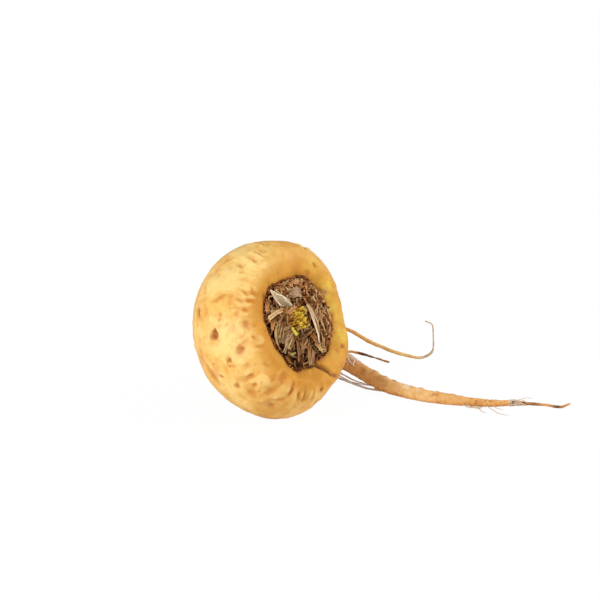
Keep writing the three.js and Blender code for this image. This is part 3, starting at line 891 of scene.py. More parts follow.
# Hairs of the taproot: [x, y, z] spots. Those under its base come first.
UNDER_BASE = 6
HAIRS = [
    # under its base
    [(14.5, 27.0, 1.6), (18.0, 23.4, 0.7), (22.6, 19.4, 0.4), (26.3, 15.4, 0.3),
     (30.6, 12.2, 0.6), (33.2, 10.9, 1.2)],
    [(16.0, 26.5, 1.4), (19.5, 22.6, 0.9), (23.5, 17.9, 0.5), (27.5, 14.4, 0.4),
     (31.5, 11.6, 0.9)],
    [(15.2, 26.6, 1.0), (18.8, 22.4, 0.5), (22.6, 18.4, 0.3), (26.8, 14.4, 0.2),
     (31.0, 11.6, 0.5)],
    [(16.6, 26.2, 2.0), (20.2, 22.8, 1.4), (24.4, 18.2, 0.9), (29.2, 14.0, 1.0)],
    [(18.0, 25.6, 1.2), (21.0, 20.6, 0.6), (24.5, 17.8, 0.5), (28.6, 14.8, 0.9)],
    [(19.0, 24.9, 1.6), (22.4, 20.2, 1.0), (26.4, 16.6, 0.9)],
    # matted over the top of the base
    [(18.6, 27.0, 7.0), (20.6, 24.2, 7.3), (22.8, 21.4, 6.7), (24.6, 19.2, 6.2)],
    [(19.4, 26.6, 6.6), (21.2, 23.0, 6.9), (22.0, 20.8, 6.2), (23.6, 18.8, 5.4)],
    [(20.6, 25.2, 7.4), (22.0, 23.4, 7.5), (23.6, 22.2, 6.8), (25.4, 20.6, 6.0)],
    [(21.4, 24.4, 7.3), (21.0, 22.6, 7.3), (22.0, 21.2, 6.6)],
    [(19.8, 24.9, 7.2), (19.6, 23.0, 6.9), (20.8, 21.4, 6.2), (22.0, 20.2, 5.4)],
    [(22.6, 22.8, 7.0), (23.4, 20.6, 6.6), (23.0, 19.2, 5.9)],
    # tufts on the table
    [(54.2, 0.2, 0.7), (55.6, -0.9, 0.35), (57.4, -1.3, 0.3), (59.2, -1.5, 0.25)],
    [(55.0, 0.0, 0.7), (56.6, -0.8, 0.4), (58.2, -0.9, 0.3), (59.6, -0.8, 0.3)],
    [(55.6, -0.1, 0.6), (57.0, -1.2, 0.3), (58.6, -1.9, 0.2)],
    [(57.6, -0.2, 0.6), (58.6, -2.0, 0.25), (59.4, -3.6, 0.15), (60.4, -5.0, 0.14)],
    [(60.6, -0.4, 0.6), (62.2, -2.6, 0.3), (64.0, -5.2, 0.15), (66.6, -7.0, 0.13)],
    [(62.6, -0.2, 0.6), (63.6, -1.6, 0.3), (65.4, -2.6, 0.2)],
    [(68.6, 1.4, 1.2), (70.4, 1.3, 1.9), (72.0, 1.5, 2.2), (73.8, 1.4, 2.2)],
    # frayed round the knot
    [(66.8, 0.6, 1.3), (68.2, 0.5, 1.7), (69.8, 0.6, 1.6), (71.2, 0.5, 1.5)],
    [(67.2, 0.4, 0.7), (68.6, 0.2, 0.8), (70.2, 0.4, 0.5), (71.8, 0.4, 0.7)],
    [(67.6, 1.2, 1.7), (69.0, 0.8, 1.9), (70.6, 0.8, 1.5), (72.4, 0.8, 1.2)],
    [(68.4, 0.5, 1.2), (69.4, 0.2, 1.1), (70.8, 0.2, 1.1), (72.0, 0.3, 0.4)],
    # behind the base
    [(2.0, 32.4, 2.2), (6.0, 34.0, 0.7), (10.0, 34.4, 0.3)],
    [(10.0, 32.2, 2.4), (13.0, 32.8, 0.8), (17.0, 31.8, 0.3)],
]


def root_hairs(finish):
    hairs = []
    for i, spots in enumerate(HAIRS):
        thick = (0.24 if i < UNDER_BASE else 0.15) + 0.04 * vary(i, 5)
        line = [(*spot, thick * (1 - 0.5 * n / len(spots))) for n, spot in enumerate(spots)]
        hair = grown_root("hair", line, 5, 8 * len(spots))
        points = points_of(hair)
        points[:, :2] += 0.12 * columns(noise(points, 1.8, 81), noise(points, 1.8, 82))
        move_points(hair, above_table(points, 0.02))
        hairs.append(hair)
    piece = joined(hairs, "root_hairs")
    smooth_shaded(piece)
    settle(piece, finish, "root_skin")


# ------------------------------------------------------------------- finishes


def srgb(red, green, blue):
    """A colour given in the usual 0 to 255 steps, as the shader wants it."""
    shares = (step / 255 for step in (red, green, blue))
    light = [s / 12.92 if s <= 0.04045 else ((s + 0.055) / 1.055) ** 2.4 for s in shares]
    return (*light, 1.0)


class Wire:
    """A shader value that plain arithmetic can be written with."""

    def __init__(self, finish, socket):
        self.finish = finish
        self.socket = socket

    def maths(self, operation, *values):
        return self.finish.add("Math", dict(enumerate(values)), operation=operation)[0]

    def __add__(self, other):
        return self.maths("ADD", self, other)

    def __sub__(self, other):
        return self.maths("SUBTRACT", self, other)

    def __rsub__(self, other):
        return self.maths("SUBTRACT", other, self)

    def __mul__(self, other):
        return self.maths("MULTIPLY", self, other)

    __radd__ = __add__

    def step(self, low, high):
        """0 below low and 1 above high, smooth between."""
        sockets = {"Value": self, "From Min": low, "From Max": high}
        return self.finish.add("MapRange", sockets, interpolation_type="SMOOTHSTEP")["Result"]


class Finish:
    """A material with a Principled shader, and short ways to its nodes."""

    def __init__(self, name, **constants):
        self.material = bpy.data.materials.new(name)
        self.material.use_nodes = True
        self.tree = self.material.node_tree
        self.shader = self.tree.nodes["Principled BSDF"]
        for socket, value in constants.items():
            self.shader.inputs[socket.replace("_", " ")].default_value = value
        self.place = self.add("TexCoord")["Object"]

    def add(self, kind, sockets=None, **settings):
        """A new node, as its outputs by name and by number."""
        node = self.tree.nodes.new("ShaderNode" + kind)
        for key, value in settings.items():
            setattr(node, key, value)
        for key, value in (sockets or {}).items():
            if isinstance(value, Wire):
                self.tree.links.new(value.socket, node.inputs[key])
            else:
                node.inputs[key].default_value = value
        outputs = {s.name: Wire(self, s) for s in node.outputs if s.enabled}
        return {**outputs, **{i: Wire(self, s) for i, s in enumerate(node.outputs)}}

    def noise(self, size, detail, rough=0.55):
        """Noise from 0 to 1 whose lumps measure about `size` millimetres."""
        return self.add("TexNoise", {
            "Vector": self.place, "Scale": 1 / (size * MM), "Detail": detail,
            "Roughness": rough,
        })["Fac"]

    def mix(self, share, first, second, blend="MIX"):
        sockets = {0: share, 6: first, 7: second}
        return self.add("Mix", sockets, data_type="RGBA", blend_type=blend)[2]

    def coated(self, colour, *coats):
        """A colour under coats of other colours, each a share and a tone."""
        for share, tone in coats:
            colour = self.mix(share, colour, srgb(*tone))
        return colour

    def kept(self, name, output="Color"):
        return self.add("Attribute", attribute_name=name)[output]

    def masks(self, name):
        """The three masks kept in a colour attribute."""
        parts = self.add("SeparateColor", {"Color": self.kept(name)})
        return parts["Red"], parts["Green"], parts["Blue"]

    def streaks(self, scale, detail):
        """Noise drawn out along the fibres of a sheet."""
        along = self.add("Mapping", {"Vector": self.kept("fibre", "Vector"), "Scale": scale})
        sockets = {"Vector": along["Vector"], "Scale": 1.0, "Detail": detail}
        return self.add("TexNoise", sockets)["Fac"]

    def bump(self, height, depth, strength):
        return self.add("Bump", {
            "Height": height, "Distance": depth * MM, "Strength": strength,
        })["Normal"]

    def feed(self, **links):
        for socket, wire in links.items():
            target = self.shader.inputs[socket.replace("_", " ")]
            self.tree.links.new(wire.socket, target)
        return self.material


def body_colour(finish, relief, golden, mottle, fine):
    """Pale yellow skin, golden round the rim and, as painted shade, on the sides turned from the key lamp;
    painted highlights on its ridges and painted shade in its hollows.
    """
    broad = finish.noise(8, 2).step(0.35, 0.65)
    pale = finish.mix(broad, srgb(248, 196, 102), srgb(254, 216, 134))
    gold = finish.mix(broad, srgb(200, 134, 28), srgb(212, 150, 42))
    # palest: how much painted highlight the skin takes, less where it is golden.
    palest = 1 - golden * 0.55
    return finish.coated(
        finish.mix(golden, pale, gold),
        (mottle.step(0.46, 0.68) * 0.5, (214, 142, 36)),
        (finish.noise(5, 3).step(0.5, 0.68) * 0.4, (226, 155, 46)),
        (fine.step(0.55, 0.78) * 0.3 * palest, (250, 206, 108)),
        # painted highlight on the raised skin
        (relief.step(0.53, 0.78) * 0.7 * palest, (254, 217, 134)),
        # painted shade in the hollows
        ((1 - relief).step(0.53, 0.95) * 0.75, (202, 122, 20)),
        (finish.noise(1.0, 5, rough=0.7).step(0.61, 0.7) * 0.3, (186, 112, 48)),
    )


def taproot_colour(finish, relief):
    bands = finish.noise(1.8, 4).step(0.35, 0.7)
    return finish.coated(
        finish.mix(bands, srgb(240, 194, 126), srgb(222, 168, 96)),
        # the pale scrape, and a painted highlight on the taproot's bumps
        (relief.step(0.6, 1.0) * 0.8, (242, 218, 178)),
        # painted shade in the taproot's dents
        ((1 - relief).step(0.55, 0.9) * 0.5, (188, 122, 68)),
        (finish.noise(0.9, 4).step(0.6, 0.7) * 0.22, (168, 106, 56)),
    )


def root_skin():
    finish = Finish(
        "root_skin", IOR=1.45, Specular_IOR_Level=0.6, Subsurface_Weight=0.1,
        Subsurface_Radius=(0.6, 0.25, 0.08), Subsurface_Scale=0.0015,
    )
    brown, dark, relief = finish.masks("marks")
    # golden: the rim's own gold, and painted shade on the sides turned from the key lamp and on the left
    # limb.
    crater, taproot, golden = finish.masks("zones")
    green, grey, red = finish.masks("stains")
    mottle, fine, blotch = finish.noise(2.4, 4), finish.noise(0.7, 3), finish.noise(0.9, 3)

    colour = finish.coated(
        finish.mix(
            taproot, body_colour(finish, relief, golden, mottle, fine),
            taproot_colour(finish, relief),
        ),
        (green, (232, 194, 70)), (grey, (160, 134, 104)), (red, (214, 128, 56)),
    )
    light_brown = finish.mix(taproot, srgb(208, 130, 42), srgb(214, 138, 48))
    deep_brown = finish.mix(taproot, srgb(164, 90, 28), srgb(180, 98, 32))
    # brown: the skin's stains, scars, rust and knots, and painted shade on the limbs, the hollow folds, the
    # crease and the taproot's underside.
    spread = 0.45 + blotch * 0.9 * (1 - taproot * 0.5) + taproot * 0.2
    colour = finish.mix(brown * spread, colour, finish.mix(
        blotch.step(0.4, 0.62) * (1 - taproot * 0.5), light_brown, deep_brown
    ))
    # dark: the pits' and knots' dark cores, and painted shade along the hollow folds and the crease.
    colour = finish.coated(colour, (dark, (84, 44, 20)))
    earth = finish.mix(mottle.step(0.35, 0.6), srgb(84, 46, 16), srgb(136, 80, 32))
    rough = 0.46 + fine * 0.14 + crater * 0.3 + brown * 0.15 + taproot * 0.1 + golden * 0.2
    grain = fine * 0.5 + finish.noise(0.35, 2) * 0.35 + mottle * 0.8
    return finish.feed(
        Base_Color=finish.mix(crater, colour, earth), Roughness=rough,
        Normal=finish.bump(grain, 0.14, 0.7),
    )


def root_hair():
    """Thin hairs of the taproot, grey at its base and tan further along."""
    finish = Finish("root_hair", Specular_IOR_Level=0.25)
    dirt = finish.noise(1.2, 3)
    along = finish.add("SeparateXYZ", {"Vector": finish.place})["X"]
    colour = finish.coated(
        srgb(252, 250, 250), (dirt.step(0.4, 0.7), (226, 212, 206)),
        (along.step(0.035, 0.05) * 0.8, (206, 176, 140)),
    )
    return finish.feed(
        Base_Color=colour, Roughness=0.7 + dirt * 0.2,
        Normal=finish.bump(finish.noise(0.3, 2), 0.03, 0.6),
    )


# ------------------------------------------------------------------- the crown

# Colours of the dry crown in the usual 0 to 255 steps, and the bud's.
EARTH = (98, 56, 24)
RUST = (148, 86, 44)
BARK = (164, 106, 64)
TAUPE = (188, 145, 104)
LILAC = (178, 146, 122)
CREAM = (240, 216, 172)
STRAW = (226, 184, 120)
PINK = (218, 159, 116)
OLIVE = (168, 112, 34)
UMBER = (186, 132, 46)
GOLD = (230, 176, 46)
# SUN is the bud's bright yellow; on its leaves' top edges it is partly a painted highlight.
SUN = (250, 224, 88)
SPROUT = (212, 214, 66)

CRATER_FLOOR = 9.3  # along the axis
ROOTING_DEPTH = 0.6  # of the leaf bases in the floor
HEART = (1.92, math.radians(178))  # radius and turn of the bud's middle
HEART_SHIFT = crown_point(*HEART, 0.0) - crown_point(0.0, 0.0, 0.0)

# Dark gaps between the leaf bases: radius, turn, size.
GAPS = [
    (8.1, 242, 1.3), (9.2, 221, 1.3), (10.5, 250, 1.0), (9.7, 270, 0.9), (11.3, 204, 0.9),
    (12.9, 141, 1.3), (4.3, 52, 0.8), (6.8, 17, 0.7), (11.1, 226, 0.9), (9.3, 301, 0.8),
    (7.6, 176, 0.8), (13.0, 176, 0.9), (10.6, 64, 0.8), (9.4, 40, 0.7), (12.2, 24, 0.8),
]


def in_gap(radius, turn):
    """1 in the middle of a gap and 0 well away from all, at turns in radians."""
    gap = 0.0
    for gap_radius, gap_turn, size in GAPS:
        gap_turn = math.radians(gap_turn)
        x = radius * np.cos(turn) - gap_radius * math.cos(gap_turn)
        y = radius * np.sin(turn) - gap_radius * math.sin(gap_turn)
        gap = np.maximum(gap, np.exp(-((x * x + y * y) / size**2) ** 1.5))
    return gap


def linear(colour):
    return np.array(srgb(*colour)[:3])


def sheet_blank(across, along):
    """A flat papery sheet, one wide and one long, its foot at y = 0."""
    nothing_selected()
    bpy.ops.mesh.primitive_grid_add(
        x_subdivisions=across, y_subdivisions=along, size=1, location=(0, 0.5, 0)
    )
    return named(just_added(), "sheet_blank")


def lump_blank():
    """A crumb of dry bark."""
    nothing_selected()
    bpy.ops.mesh.primitive_ico_sphere_add(subdivisions=1, radius=0.5, location=(0, 0, 0))
    blank = bpy.context.object
    edit_all()
    bpy.ops.transform.resize(value=(1.3, 1, 0.6))
    leave_editing()
    return blank


def flat_points(blank):
    return vectors_of(blank.data.vertices, "co")


def tints(foot, middle, edge, u, v, seed, edge_width=0.12):
    """Colours of a sheet from its foot to its pale, worn edges."""
    rim = np.minimum(0.5 - abs(u), 1 - v)
    near_edge = (1 - ease(rim, 0, edge_width))[:, None]
    mottle = (0.5 + 0.5 * noise_over(u * 3, v * 3, seed, 31))[:, None]
    colour = linear(foot) + (linear(middle) - linear(foot)) * ease(v, 0.05, 0.6)[:, None]
    colour = colour * (0.72 + 0.5 * mottle)
    return colour + (linear(edge) - colour) * near_edge * (0.45 + 0.55 * mottle)


def shaded_low(turn):
    """How light the leaf bases are round the crater: painted shade, dark below the bud."""
    return 1 - 0.46 * bell((turn % 360 - 240) / 55)


def at_bottom(turn):
    """1 at the lowest point of the crater's edge, 0 well away, in degrees."""
    return bell((turn % 360 - 252) / 16)


def shaded_side(turn):
    """1 on the crater's left, where its wall is steepest, and 0 on its right."""
    return 0.5 - 0.5 * math.cos(math.radians(turn))


def fibres(u, v, width, length, seed):
    """Place on the sheet in millimetres, for streaks that follow it."""
    return columns(u * width + seed * 3.7, v * length, seed * 1.3)


def plate_points(u, v, shape):
    """A cupped leaf base standing on the crater's floor round the axis."""
    seed = shape["seed"]
    line = columns(u * 6 + seed * 7.1, 0, 0)
    torn = shape["torn"] * (noise(line, 1.0, 41) + 0.6 * noise(line, 0.37, 42))
    height = shape["height"] * (1 + torn - shape["round"] * (2 * u) ** 2) * v
    foot, top = shape["radius"]
    lean = foot + (top - foot) * v + shape["curl"] * v**3
    wave = shape["wave"] * np.sin(u * shape["waves"] + seed * 2.3)
    crumpled = shape["crumple"] * (
        noise_over(u * 5, v * 4, seed, 43) + 0.5 * noise_over(u * 11, v * 9, seed, 44)
    )
    turn = math.radians(shape["turn"]) + math.radians(shape["arc"]) * (1 - 0.25 * v**3) * u
    turn = turn + 0.04 * noise_over(u * 3, v * 3, seed, 45)
    lean = lean + (wave + crumpled) * ease(v, 0, 0.4)
    x, y = lean * np.cos(turn), lean * np.sin(turn) * shape["squash"]
    lean, turn = np.hypot(x, y), np.arctan2(y, x)
    if shape["shift"] < 0.5:
        height = height * (1 - 0.75 * in_gap(lean, turn))
    rooted = CRATER_FLOOR - ROOTING_DEPTH + (height + ROOTING_DEPTH * v)
    return shape["shift"] * HEART_SHIFT + crown_point(lean, turn, rooted)


def strip_points(u, v, shape):
    """A strip that follows a route of [radius, turn, height] spots."""
    route = np.array([
        crown_point(r, math.radians(t), CRATER_FLOOR + h) for r, t, h in shape["route"]
    ])
    centres, ahead, behind = (
        spline(route, np.clip(v + step, 0, 1)) for step in (0, 0.02, -0.02)
    )
    forward = unit(ahead - behind)
    outwards = route.mean(0) - crown_point(0.0, 0.0, CRATER_FLOOR)
    outwards -= outwards @ AXIS * AXIS
    outwards /= max(np.linalg.norm(outwards), 1e-6)
    tilt = math.radians(shape.get("tilt", 0))
    side = unit(np.cross(forward, AXIS * math.cos(tilt) + outwards * math.sin(tilt)))
    face = np.cross(side, forward)
    twist = np.radians(shape.get("twist", 0)) * (v - 0.5)[:, None]
    cos, sin = np.cos(twist), np.sin(twist)
    side, face = side * cos + face * sin, face * cos - side * sin

    seed = shape["seed"]
    widths = np.interp(v, np.linspace(0, 1, len(shape["widths"])), shape["widths"])
    edges = noise_over(v * 8, np.sign(u) + seed, 0, 46)
    widths = widths * (1 + shape.get("ragged", 0.3) * edges)
    frayed = shape.get("torn", 0.1) * noise_over(u * 7, seed, 0, 47) * (2 * v - 1) ** 2
    ridged = 0.12 * noise_over(u * widths * 3.5, v * 1.2, seed, 49)
    crumpled = shape["crumple"] * noise_over(u * 2.2, v * 6, seed, 48)
    cup = shape.get("cup", 0.15) * (4 * u**2 - 0.4) * widths
    return (
        centres + side * (u * widths)[:, None] + face * (cup + crumpled + ridged)[:, None]
        + forward * (frayed + shape.get("skew", 0) * u * (1 - v))[:, None]
    )


def leaf_piece(blank, name, kind, shape):
    """One papery piece, bent from the blank, thickened and smoothed."""
    leaf = copy_of(blank, name)
    u, v, _ = flat_points(leaf).T
    move_points(leaf, kind(u, v, shape))
    width = shape.get("arc", 0) / 8 or max(shape["widths"])
    tint = tints(*shape["colours"], u, v, shape["seed"], shape.get("rim", 0.12))
    # shade: painted shade, darker low in the crater.
    set_colour(leaf, "tint", shape.get("shade", 1) * tint)
    set_colour(leaf, "fibre", fibres(u, v, width, shape.get("height", 5), shape["seed"]))
    apply_modifier(
        leaf, "SOLIDIFY", thickness=shape.get("thick", 0.28) * MM, offset=0,
        use_even_offset=False,
    )
    subdivide(leaf, 1)
    smooth_shaded(leaf)
    normals_outwards(leaf)
    return leaf


def strip_piece(blank, name, shape):
    """A strip of the crown, with painted shade darkening it low in the crater."""
    shade = 0.35 + 0.65 * shaded_low(shape["route"][1][1])
    return leaf_piece(blank, name, strip_points, {"shade": shade, **shape})


# One ring of leaf bases after another, from the wall to the bud: the solids'
# name, how many, [foot, top] radius, height, arc, first turn, how far its
# middle is shifted to the bud's, colours.
RINGS = [
    ("outer_sheath", 11, (11.4, 12.3), 3.2, 29, 8, 0, (EARTH, RUST, PINK)),
    ("middle_sheath", 10, (9.3, 10.3), 3.6, 33, 0, 0, (EARTH, BARK, TAUPE)),
    ("inner_sheath", 8, (7.3, 8.1), 3.9, 42, 17, 0.2, (EARTH, TAUPE, CREAM)),
    ("bud_sheath", 6, (5.4, 6.0), 4.0, 50, 5, 0.6, (RUST, TAUPE, STRAW)),
    ("bud_scale", 5, (4.6, 4.7), 4.0, 62, 30, 1, (OLIVE, GOLD, SUN)),
]

# How torn, crumpled, waved, thick and round at the top the dry leaf bases, the
# bud's scales and its leaflets are. squash is a ring's height over its width.
SHEATH = {
    "torn": 0.36, "crumple": 0.34, "wave": 0.12, "waves": 11, "thick": 0.3, "round": 0.25,
    "squash": 1,
}
BUD_SCALE = {
    "torn": 0.1, "crumple": 0.3, "wave": 0.2, "waves": 13, "thick": 0.26, "round": 0.25,
    "squash": 0.78,
}
LEAFLET = {
    "torn": 0.08, "wave": 0.34, "waves": 6.5, "thick": 0.34, "round": 0.2, "squash": 0.75,
    "rim": 0.4, "shift": 1,
}

# The bud's layers from its heart outwards: radius, how many leaflets, arc.
LAYERS = [
    (0.5, 3, 100), (1.3, 4, 78), (2.1, 5, 62), (2.85, 7, 44), (3.6, 8, 38), (4.3, 9, 33),
]

# Stalk ends and straps that lie across the rings. A route's spots are radius,
# turn and height over the crater's floor.
STALKS = {
    "cut_stalk": {
        "route": [(7.5, 145, 4.7), (9.7, 141, 5.0), (12.2, 139, 5.2), (14.6, 135, 4.8)],
        "widths": [3.6, 3.9, 3.1, 1.6, 0.3], "cup": 0.4, "tilt": -8,
        "colours": ((150, 132, 116), (200, 184, 166), (255, 250, 234)), "rim": 0.22,
        "torn": 0.05, "skew": -3.6, "ragged": 0.1,
    },
    "strap": {
        "route": [(8.6, 155, 4.9), (11.3, 162, 4.9), (14.0, 169, 4.0)],
        "widths": [0.9, 0.9, 1.0, 1.3], "cup": 0.25, "thick": 0.4,
        "colours": (TAUPE, (206, 172, 136), CREAM), "rim": 0.25, "torn": 0.4,
    },
    "stub_01": {
        "route": [(7.4, 222, 4.4), (9.3, 229, 4.6), (10.3, 231, 4.4), (11.4, 235, 3.7)],
        "widths": [0.5, 0.9, 0.7, 0.8, 0.3], "cup": 0.3,
        "colours": (BARK, LILAC, PINK), "rim": 0.3,
    },
    "stub_02": {
        "route": [(6.5, 261, 4.4), (8.4, 254, 4.6), (10.2, 253, 4.4), (13.1, 255, 3.4)],
        "widths": [0.6, 1.2, 1.0, 1.4, 0.7], "cup": 0.25,
        "colours": (RUST, (182, 142, 108), STRAW), "rim": 0.22,
    },
    "stub_03": {
        "route": [(8.7, 265, 4.3), (10.4, 262, 4.4), (12.8, 259, 3.6)],
        "widths": [0.5, 1.3, 1.1, 0.6], "cup": 0.3,
        "colours": (RUST, (176, 144, 120), PINK), "rim": 0.25,
    },
    "stub_04": {
        "route": [(6.5, 206, 4.5), (9.3, 206, 4.6), (11.4, 207, 4.4), (13.1, 210, 3.7)],
        "widths": [0.6, 1.3, 1.5, 1.3, 0.9], "cup": 0.2, "ragged": 0.5,
        "colours": (BARK, (190, 164, 136), (208, 184, 150)), "rim": 0.2, "crumple": 0.34,
    },
}

# Longer papery strips with no solid of their own: route, widths, tilt, colours.
STRIPS = [
    # pale edges that run down the right side
    ([(4.7, 45, 4.5), (3.7, 25, 4.8), (3.4, -8, 5.0), (4.2, -36, 5.0), (5.7, -53, 4.9),
      (7.4, -63, 4.7), (9.0, -71, 4.3)], [0.4, 0.6, 0.5, 0.6, 0.7, 0.5, 0.3], 20,
     ((196, 166, 140), (238, 220, 200), (250, 238, 218))),
    ([(5.1, 34, 4.4), (4.4, 12, 4.7), (4.8, -14, 4.7), (5.8, -34, 4.7), (7.1, -49, 4.5)],
     [0.3, 0.5, 0.6, 0.5, 0.3], 30, (TAUPE, (222, 196, 174), CREAM)),
    ([(4.0, 30, 4.3), (4.1, 2, 4.5), (4.9, -28, 4.6), (6.6, -52, 4.6), (8.2, -64, 4.3)],
     [0.4, 0.7, 0.8, 0.6, 0.4], -10, (RUST, LILAC, PINK)),
    ([(8.3, 3, 4.3), (7.5, -15, 4.5), (8.3, -32, 4.5), (10.6, -41, 3.9)],
     [0.6, 0.8, 0.7, 0.5], 30, (BARK, TAUPE, CREAM)),
    ([(6.4, 3, 4.1), (5.6, -16, 4.2), (6.0, -36, 4.1)], [1.6, 2.0, 1.3], 10,
     (RUST, LILAC, TAUPE)),
    ([(7.7, -46, 4.3), (9.5, -57, 4.4), (11.5, -64, 3.8)], [0.6, 0.8, 0.5], 15,
     (BARK, TAUPE, CREAM)),
    ([(6.7, 62, 4.4), (5.2, 50, 4.6), (4.3, 30, 4.6)], [0.3, 0.6, 0.4], 10,
     (RUST, BARK, PINK)),
    ([(8.4, 14, 4.3), (7.0, 7, 4.4), (5.6, -7, 4.3)], [0.5, 0.8, 0.6], 20,
     (BARK, TAUPE, CREAM)),
    ([(10.6, -6, 3.7), (10.4, -24, 3.9), (11.4, -38, 3.5)], [0.5, 0.9, 0.6], 30,
     (RUST, BARK, STRAW)),
    ([(8.6, -82, 4.6), (10.1, -81, 4.9), (11.8, -74, 4.2)], [1.0, 1.6, 1.1], 0,
     (BARK, STRAW, CREAM)),
    ([(6.3, -109, 4.8), (7.6, -120, 4.7), (8.5, -122, 4.2)], [0.5, 0.6, 0.4], 0,
     (TAUPE, PINK, CREAM)),
    # long margin and grey skin down the left side
    ([(7.4, 157, 4.6), (9.0, 167, 4.5), (10.8, 177, 4.2), (12.2, 184, 3.9), (12.8, 191, 3.6),
      (13.1, 198, 3.3), (13.3, 205, 3.1)], [0.3, 0.55, 0.4, 0.5, 0.55, 0.45, 0.3], 25,
     (BARK, STRAW, CREAM)),
    ([(11.0, 168, 3.8), (12.3, 175, 3.7), (13.0, 182, 3.3)], [0.6, 1.0, 0.6], 40,
     (RUST, (218, 162, 100), STRAW)),
    ([(7.9, 172, 4.0), (9.6, 182, 4.1), (11.0, 190, 3.9), (11.9, 200, 3.6)],
     [0.9, 1.8, 2.0, 1.0], 15, (EARTH, (142, 128, 108), (184, 168, 146))),
    ([(8.7, 170, 4.3), (10.4, 179, 4.4), (11.7, 188, 4.1)], [0.2, 0.3, 0.2], 15,
     (BARK, TAUPE, STRAW)),
    ([(9.0, 176, 4.3), (10.4, 186, 4.4), (11.9, 193, 4.0)], [0.2, 0.3, 0.2], 15,
     (BARK, TAUPE, STRAW)),
    ([(8.3, 181, 4.3), (9.9, 191, 4.4), (11.6, 198, 4.0)], [0.2, 0.35, 0.2], 15,
     (BARK, LILAC, STRAW)),
    ([(9.9, 184, 3.9), (8.6, 188, 4.1), (6.9, 190, 4.2)], [0.5, 0.8, 0.6], 10,
     (TAUPE, LILAC, CREAM)),
    ([(7.7, 193, 4.1), (9.8, 197, 4.0), (11.5, 203, 3.6)], [0.5, 0.8, 0.5], 10,
     (TAUPE, LILAC, STRAW)),
    ([(13.0, 143, 3.2), (13.1, 153, 3.3), (12.9, 162, 3.2)], [0.8, 1.1, 0.8], 30,
     (RUST, PINK, PINK)),
    # brown ledge over the bud's left, dusty piece and curls above it
    ([(7.8, 154, 4.5), (5.8, 154, 4.8), (4.2, 120, 4.7)], [0.8, 1.1, 0.8], -10,
     (RUST, PINK, STRAW)),
    ([(9.9, 111, 4.1), (9.3, 98, 4.7), (8.8, 82, 4.8), (7.9, 69, 4.3)], [0.5, 1.5, 1.8, 0.7],
     -16, ((140, 108, 86), (188, 160, 140), (182, 150, 126))),
    ([(8.7, 114, 4.3), (8.0, 99, 4.8), (7.4, 82, 4.7), (6.6, 66, 4.3)], [0.9, 1.7, 1.3, 0.5],
     -4, ((132, 100, 78), (186, 158, 140), (176, 144, 120))),
    ([(9.2, 122, 3.6), (10.4, 116, 4.1), (11.4, 106, 3.7)], [0.9, 1.3, 0.8], 0,
     (BARK, (150, 132, 92), STRAW)),
    ([(12.4, 65, 3.5), (11.9, 70, 4.0), (11.7, 78, 3.9)], [0.4, 0.7, 0.4], 0,
     (RUST, PINK, CREAM)),
    ([(12.4, 92, 3.5), (11.6, 91, 4.1), (10.2, 89, 3.9)], [0.5, 0.9, 0.5], 0,
     (RUST, STRAW, CREAM)),
    ([(11.6, 90, 4.1), (11.9, 83, 4.3), (11.0, 72, 4.1)], [0.4, 0.7, 0.4], 20,
     (RUST, PINK, CREAM)),
    ([(11.3, 51, 3.9), (9.8, 53, 4.3), (8.9, 48, 4.0)], [0.6, 1.0, 0.6], 0,
     (RUST, PINK, CREAM)),
    # below the bud
    ([(6.7, 198, 4.2), (9.3, 199, 4.5), (11.6, 203, 4.0)], [0.4, 0.8, 0.5], 10,
     (BARK, LILAC, TAUPE)),
    ([(6.9, 213, 4.2), (9.1, 214, 4.5), (11.3, 216, 4.0)], [0.4, 0.7, 0.4], 10,
     (RUST, TAUPE, STRAW)),
    ([(8.0, 207, 4.9), (9.8, 208, 5.1), (11.9, 211, 4.5)], [0.2, 0.3, 0.2], 10,
     (TAUPE, STRAW, CREAM)),
    ([(12.0, 214, 3.9), (11.8, 220, 4.2), (10.4, 225, 4.1)], [0.5, 0.8, 0.5], 0,
     (OLIVE, (212, 194, 134), CREAM)),
    ([(5.8, 240, 4.3), (7.6, 240, 4.4), (9.2, 241, 3.6)], [1.4, 1.8, 1.0], 0,
     (RUST, TAUPE, PINK)),
    ([(5.6, 282, 4.3), (7.6, 284, 4.4), (9.8, 286, 3.6)], [1.2, 1.5, 1.0], 0,
     (RUST, BARK, STRAW)),
    ([(12.9, 216, 3.2), (13.2, 220, 3.3), (13.0, 226, 3.1)], [0.6, 0.8, 0.5], 0,
     (RUST, BARK, PINK)),
    ([(10.5, 238, 3.6), (12.1, 243, 3.7), (13.2, 246, 3.2)], [0.5, 0.7, 0.5], 0,
     (RUST, BARK, PINK)),
]


def ring_leaf(number, i):
    """The shape of leaf base i in a ring of the crown."""
    ring, count, radius, height, arc, start, shift, colours = RINGS[number]
    turn = start + 360 * i / count + 4 * vary(i, number + 7)
    return {
        **(BUD_SCALE if ring == "bud_scale" else SHEATH), "colours": colours, "shift": shift,
        "seed": 20 * number + i + 1, "turn": turn, "arc": arc * (1 + 0.15 * vary(i, number)),
        "radius": tuple(r + 0.3 * vary(i, number + 3) for r in radius),
        "height": height * (1 + 0.14 * vary(i, number + 11)),
        "curl": 0.5 + 0.5 * vary(i, number + 17), "shade": shaded_low(turn),
    }


def crown_leaves(finish, golden_finish):
    """Every leaf base of the crown's rings, each with a solid of its own."""
    blank = sheet_blank(14, 9)
    for number, (ring, count, *_) in enumerate(RINGS):
        for i in range(count):
            name = f"{ring}_{i + 1:02d}"
            shape = ring_leaf(number, i)
            leaf = leaf_piece(blank, "leaf_" + name, plate_points, shape)
            settle(leaf, golden_finish if ring == "bud_scale" else finish, ring, name)
    discard(blank)


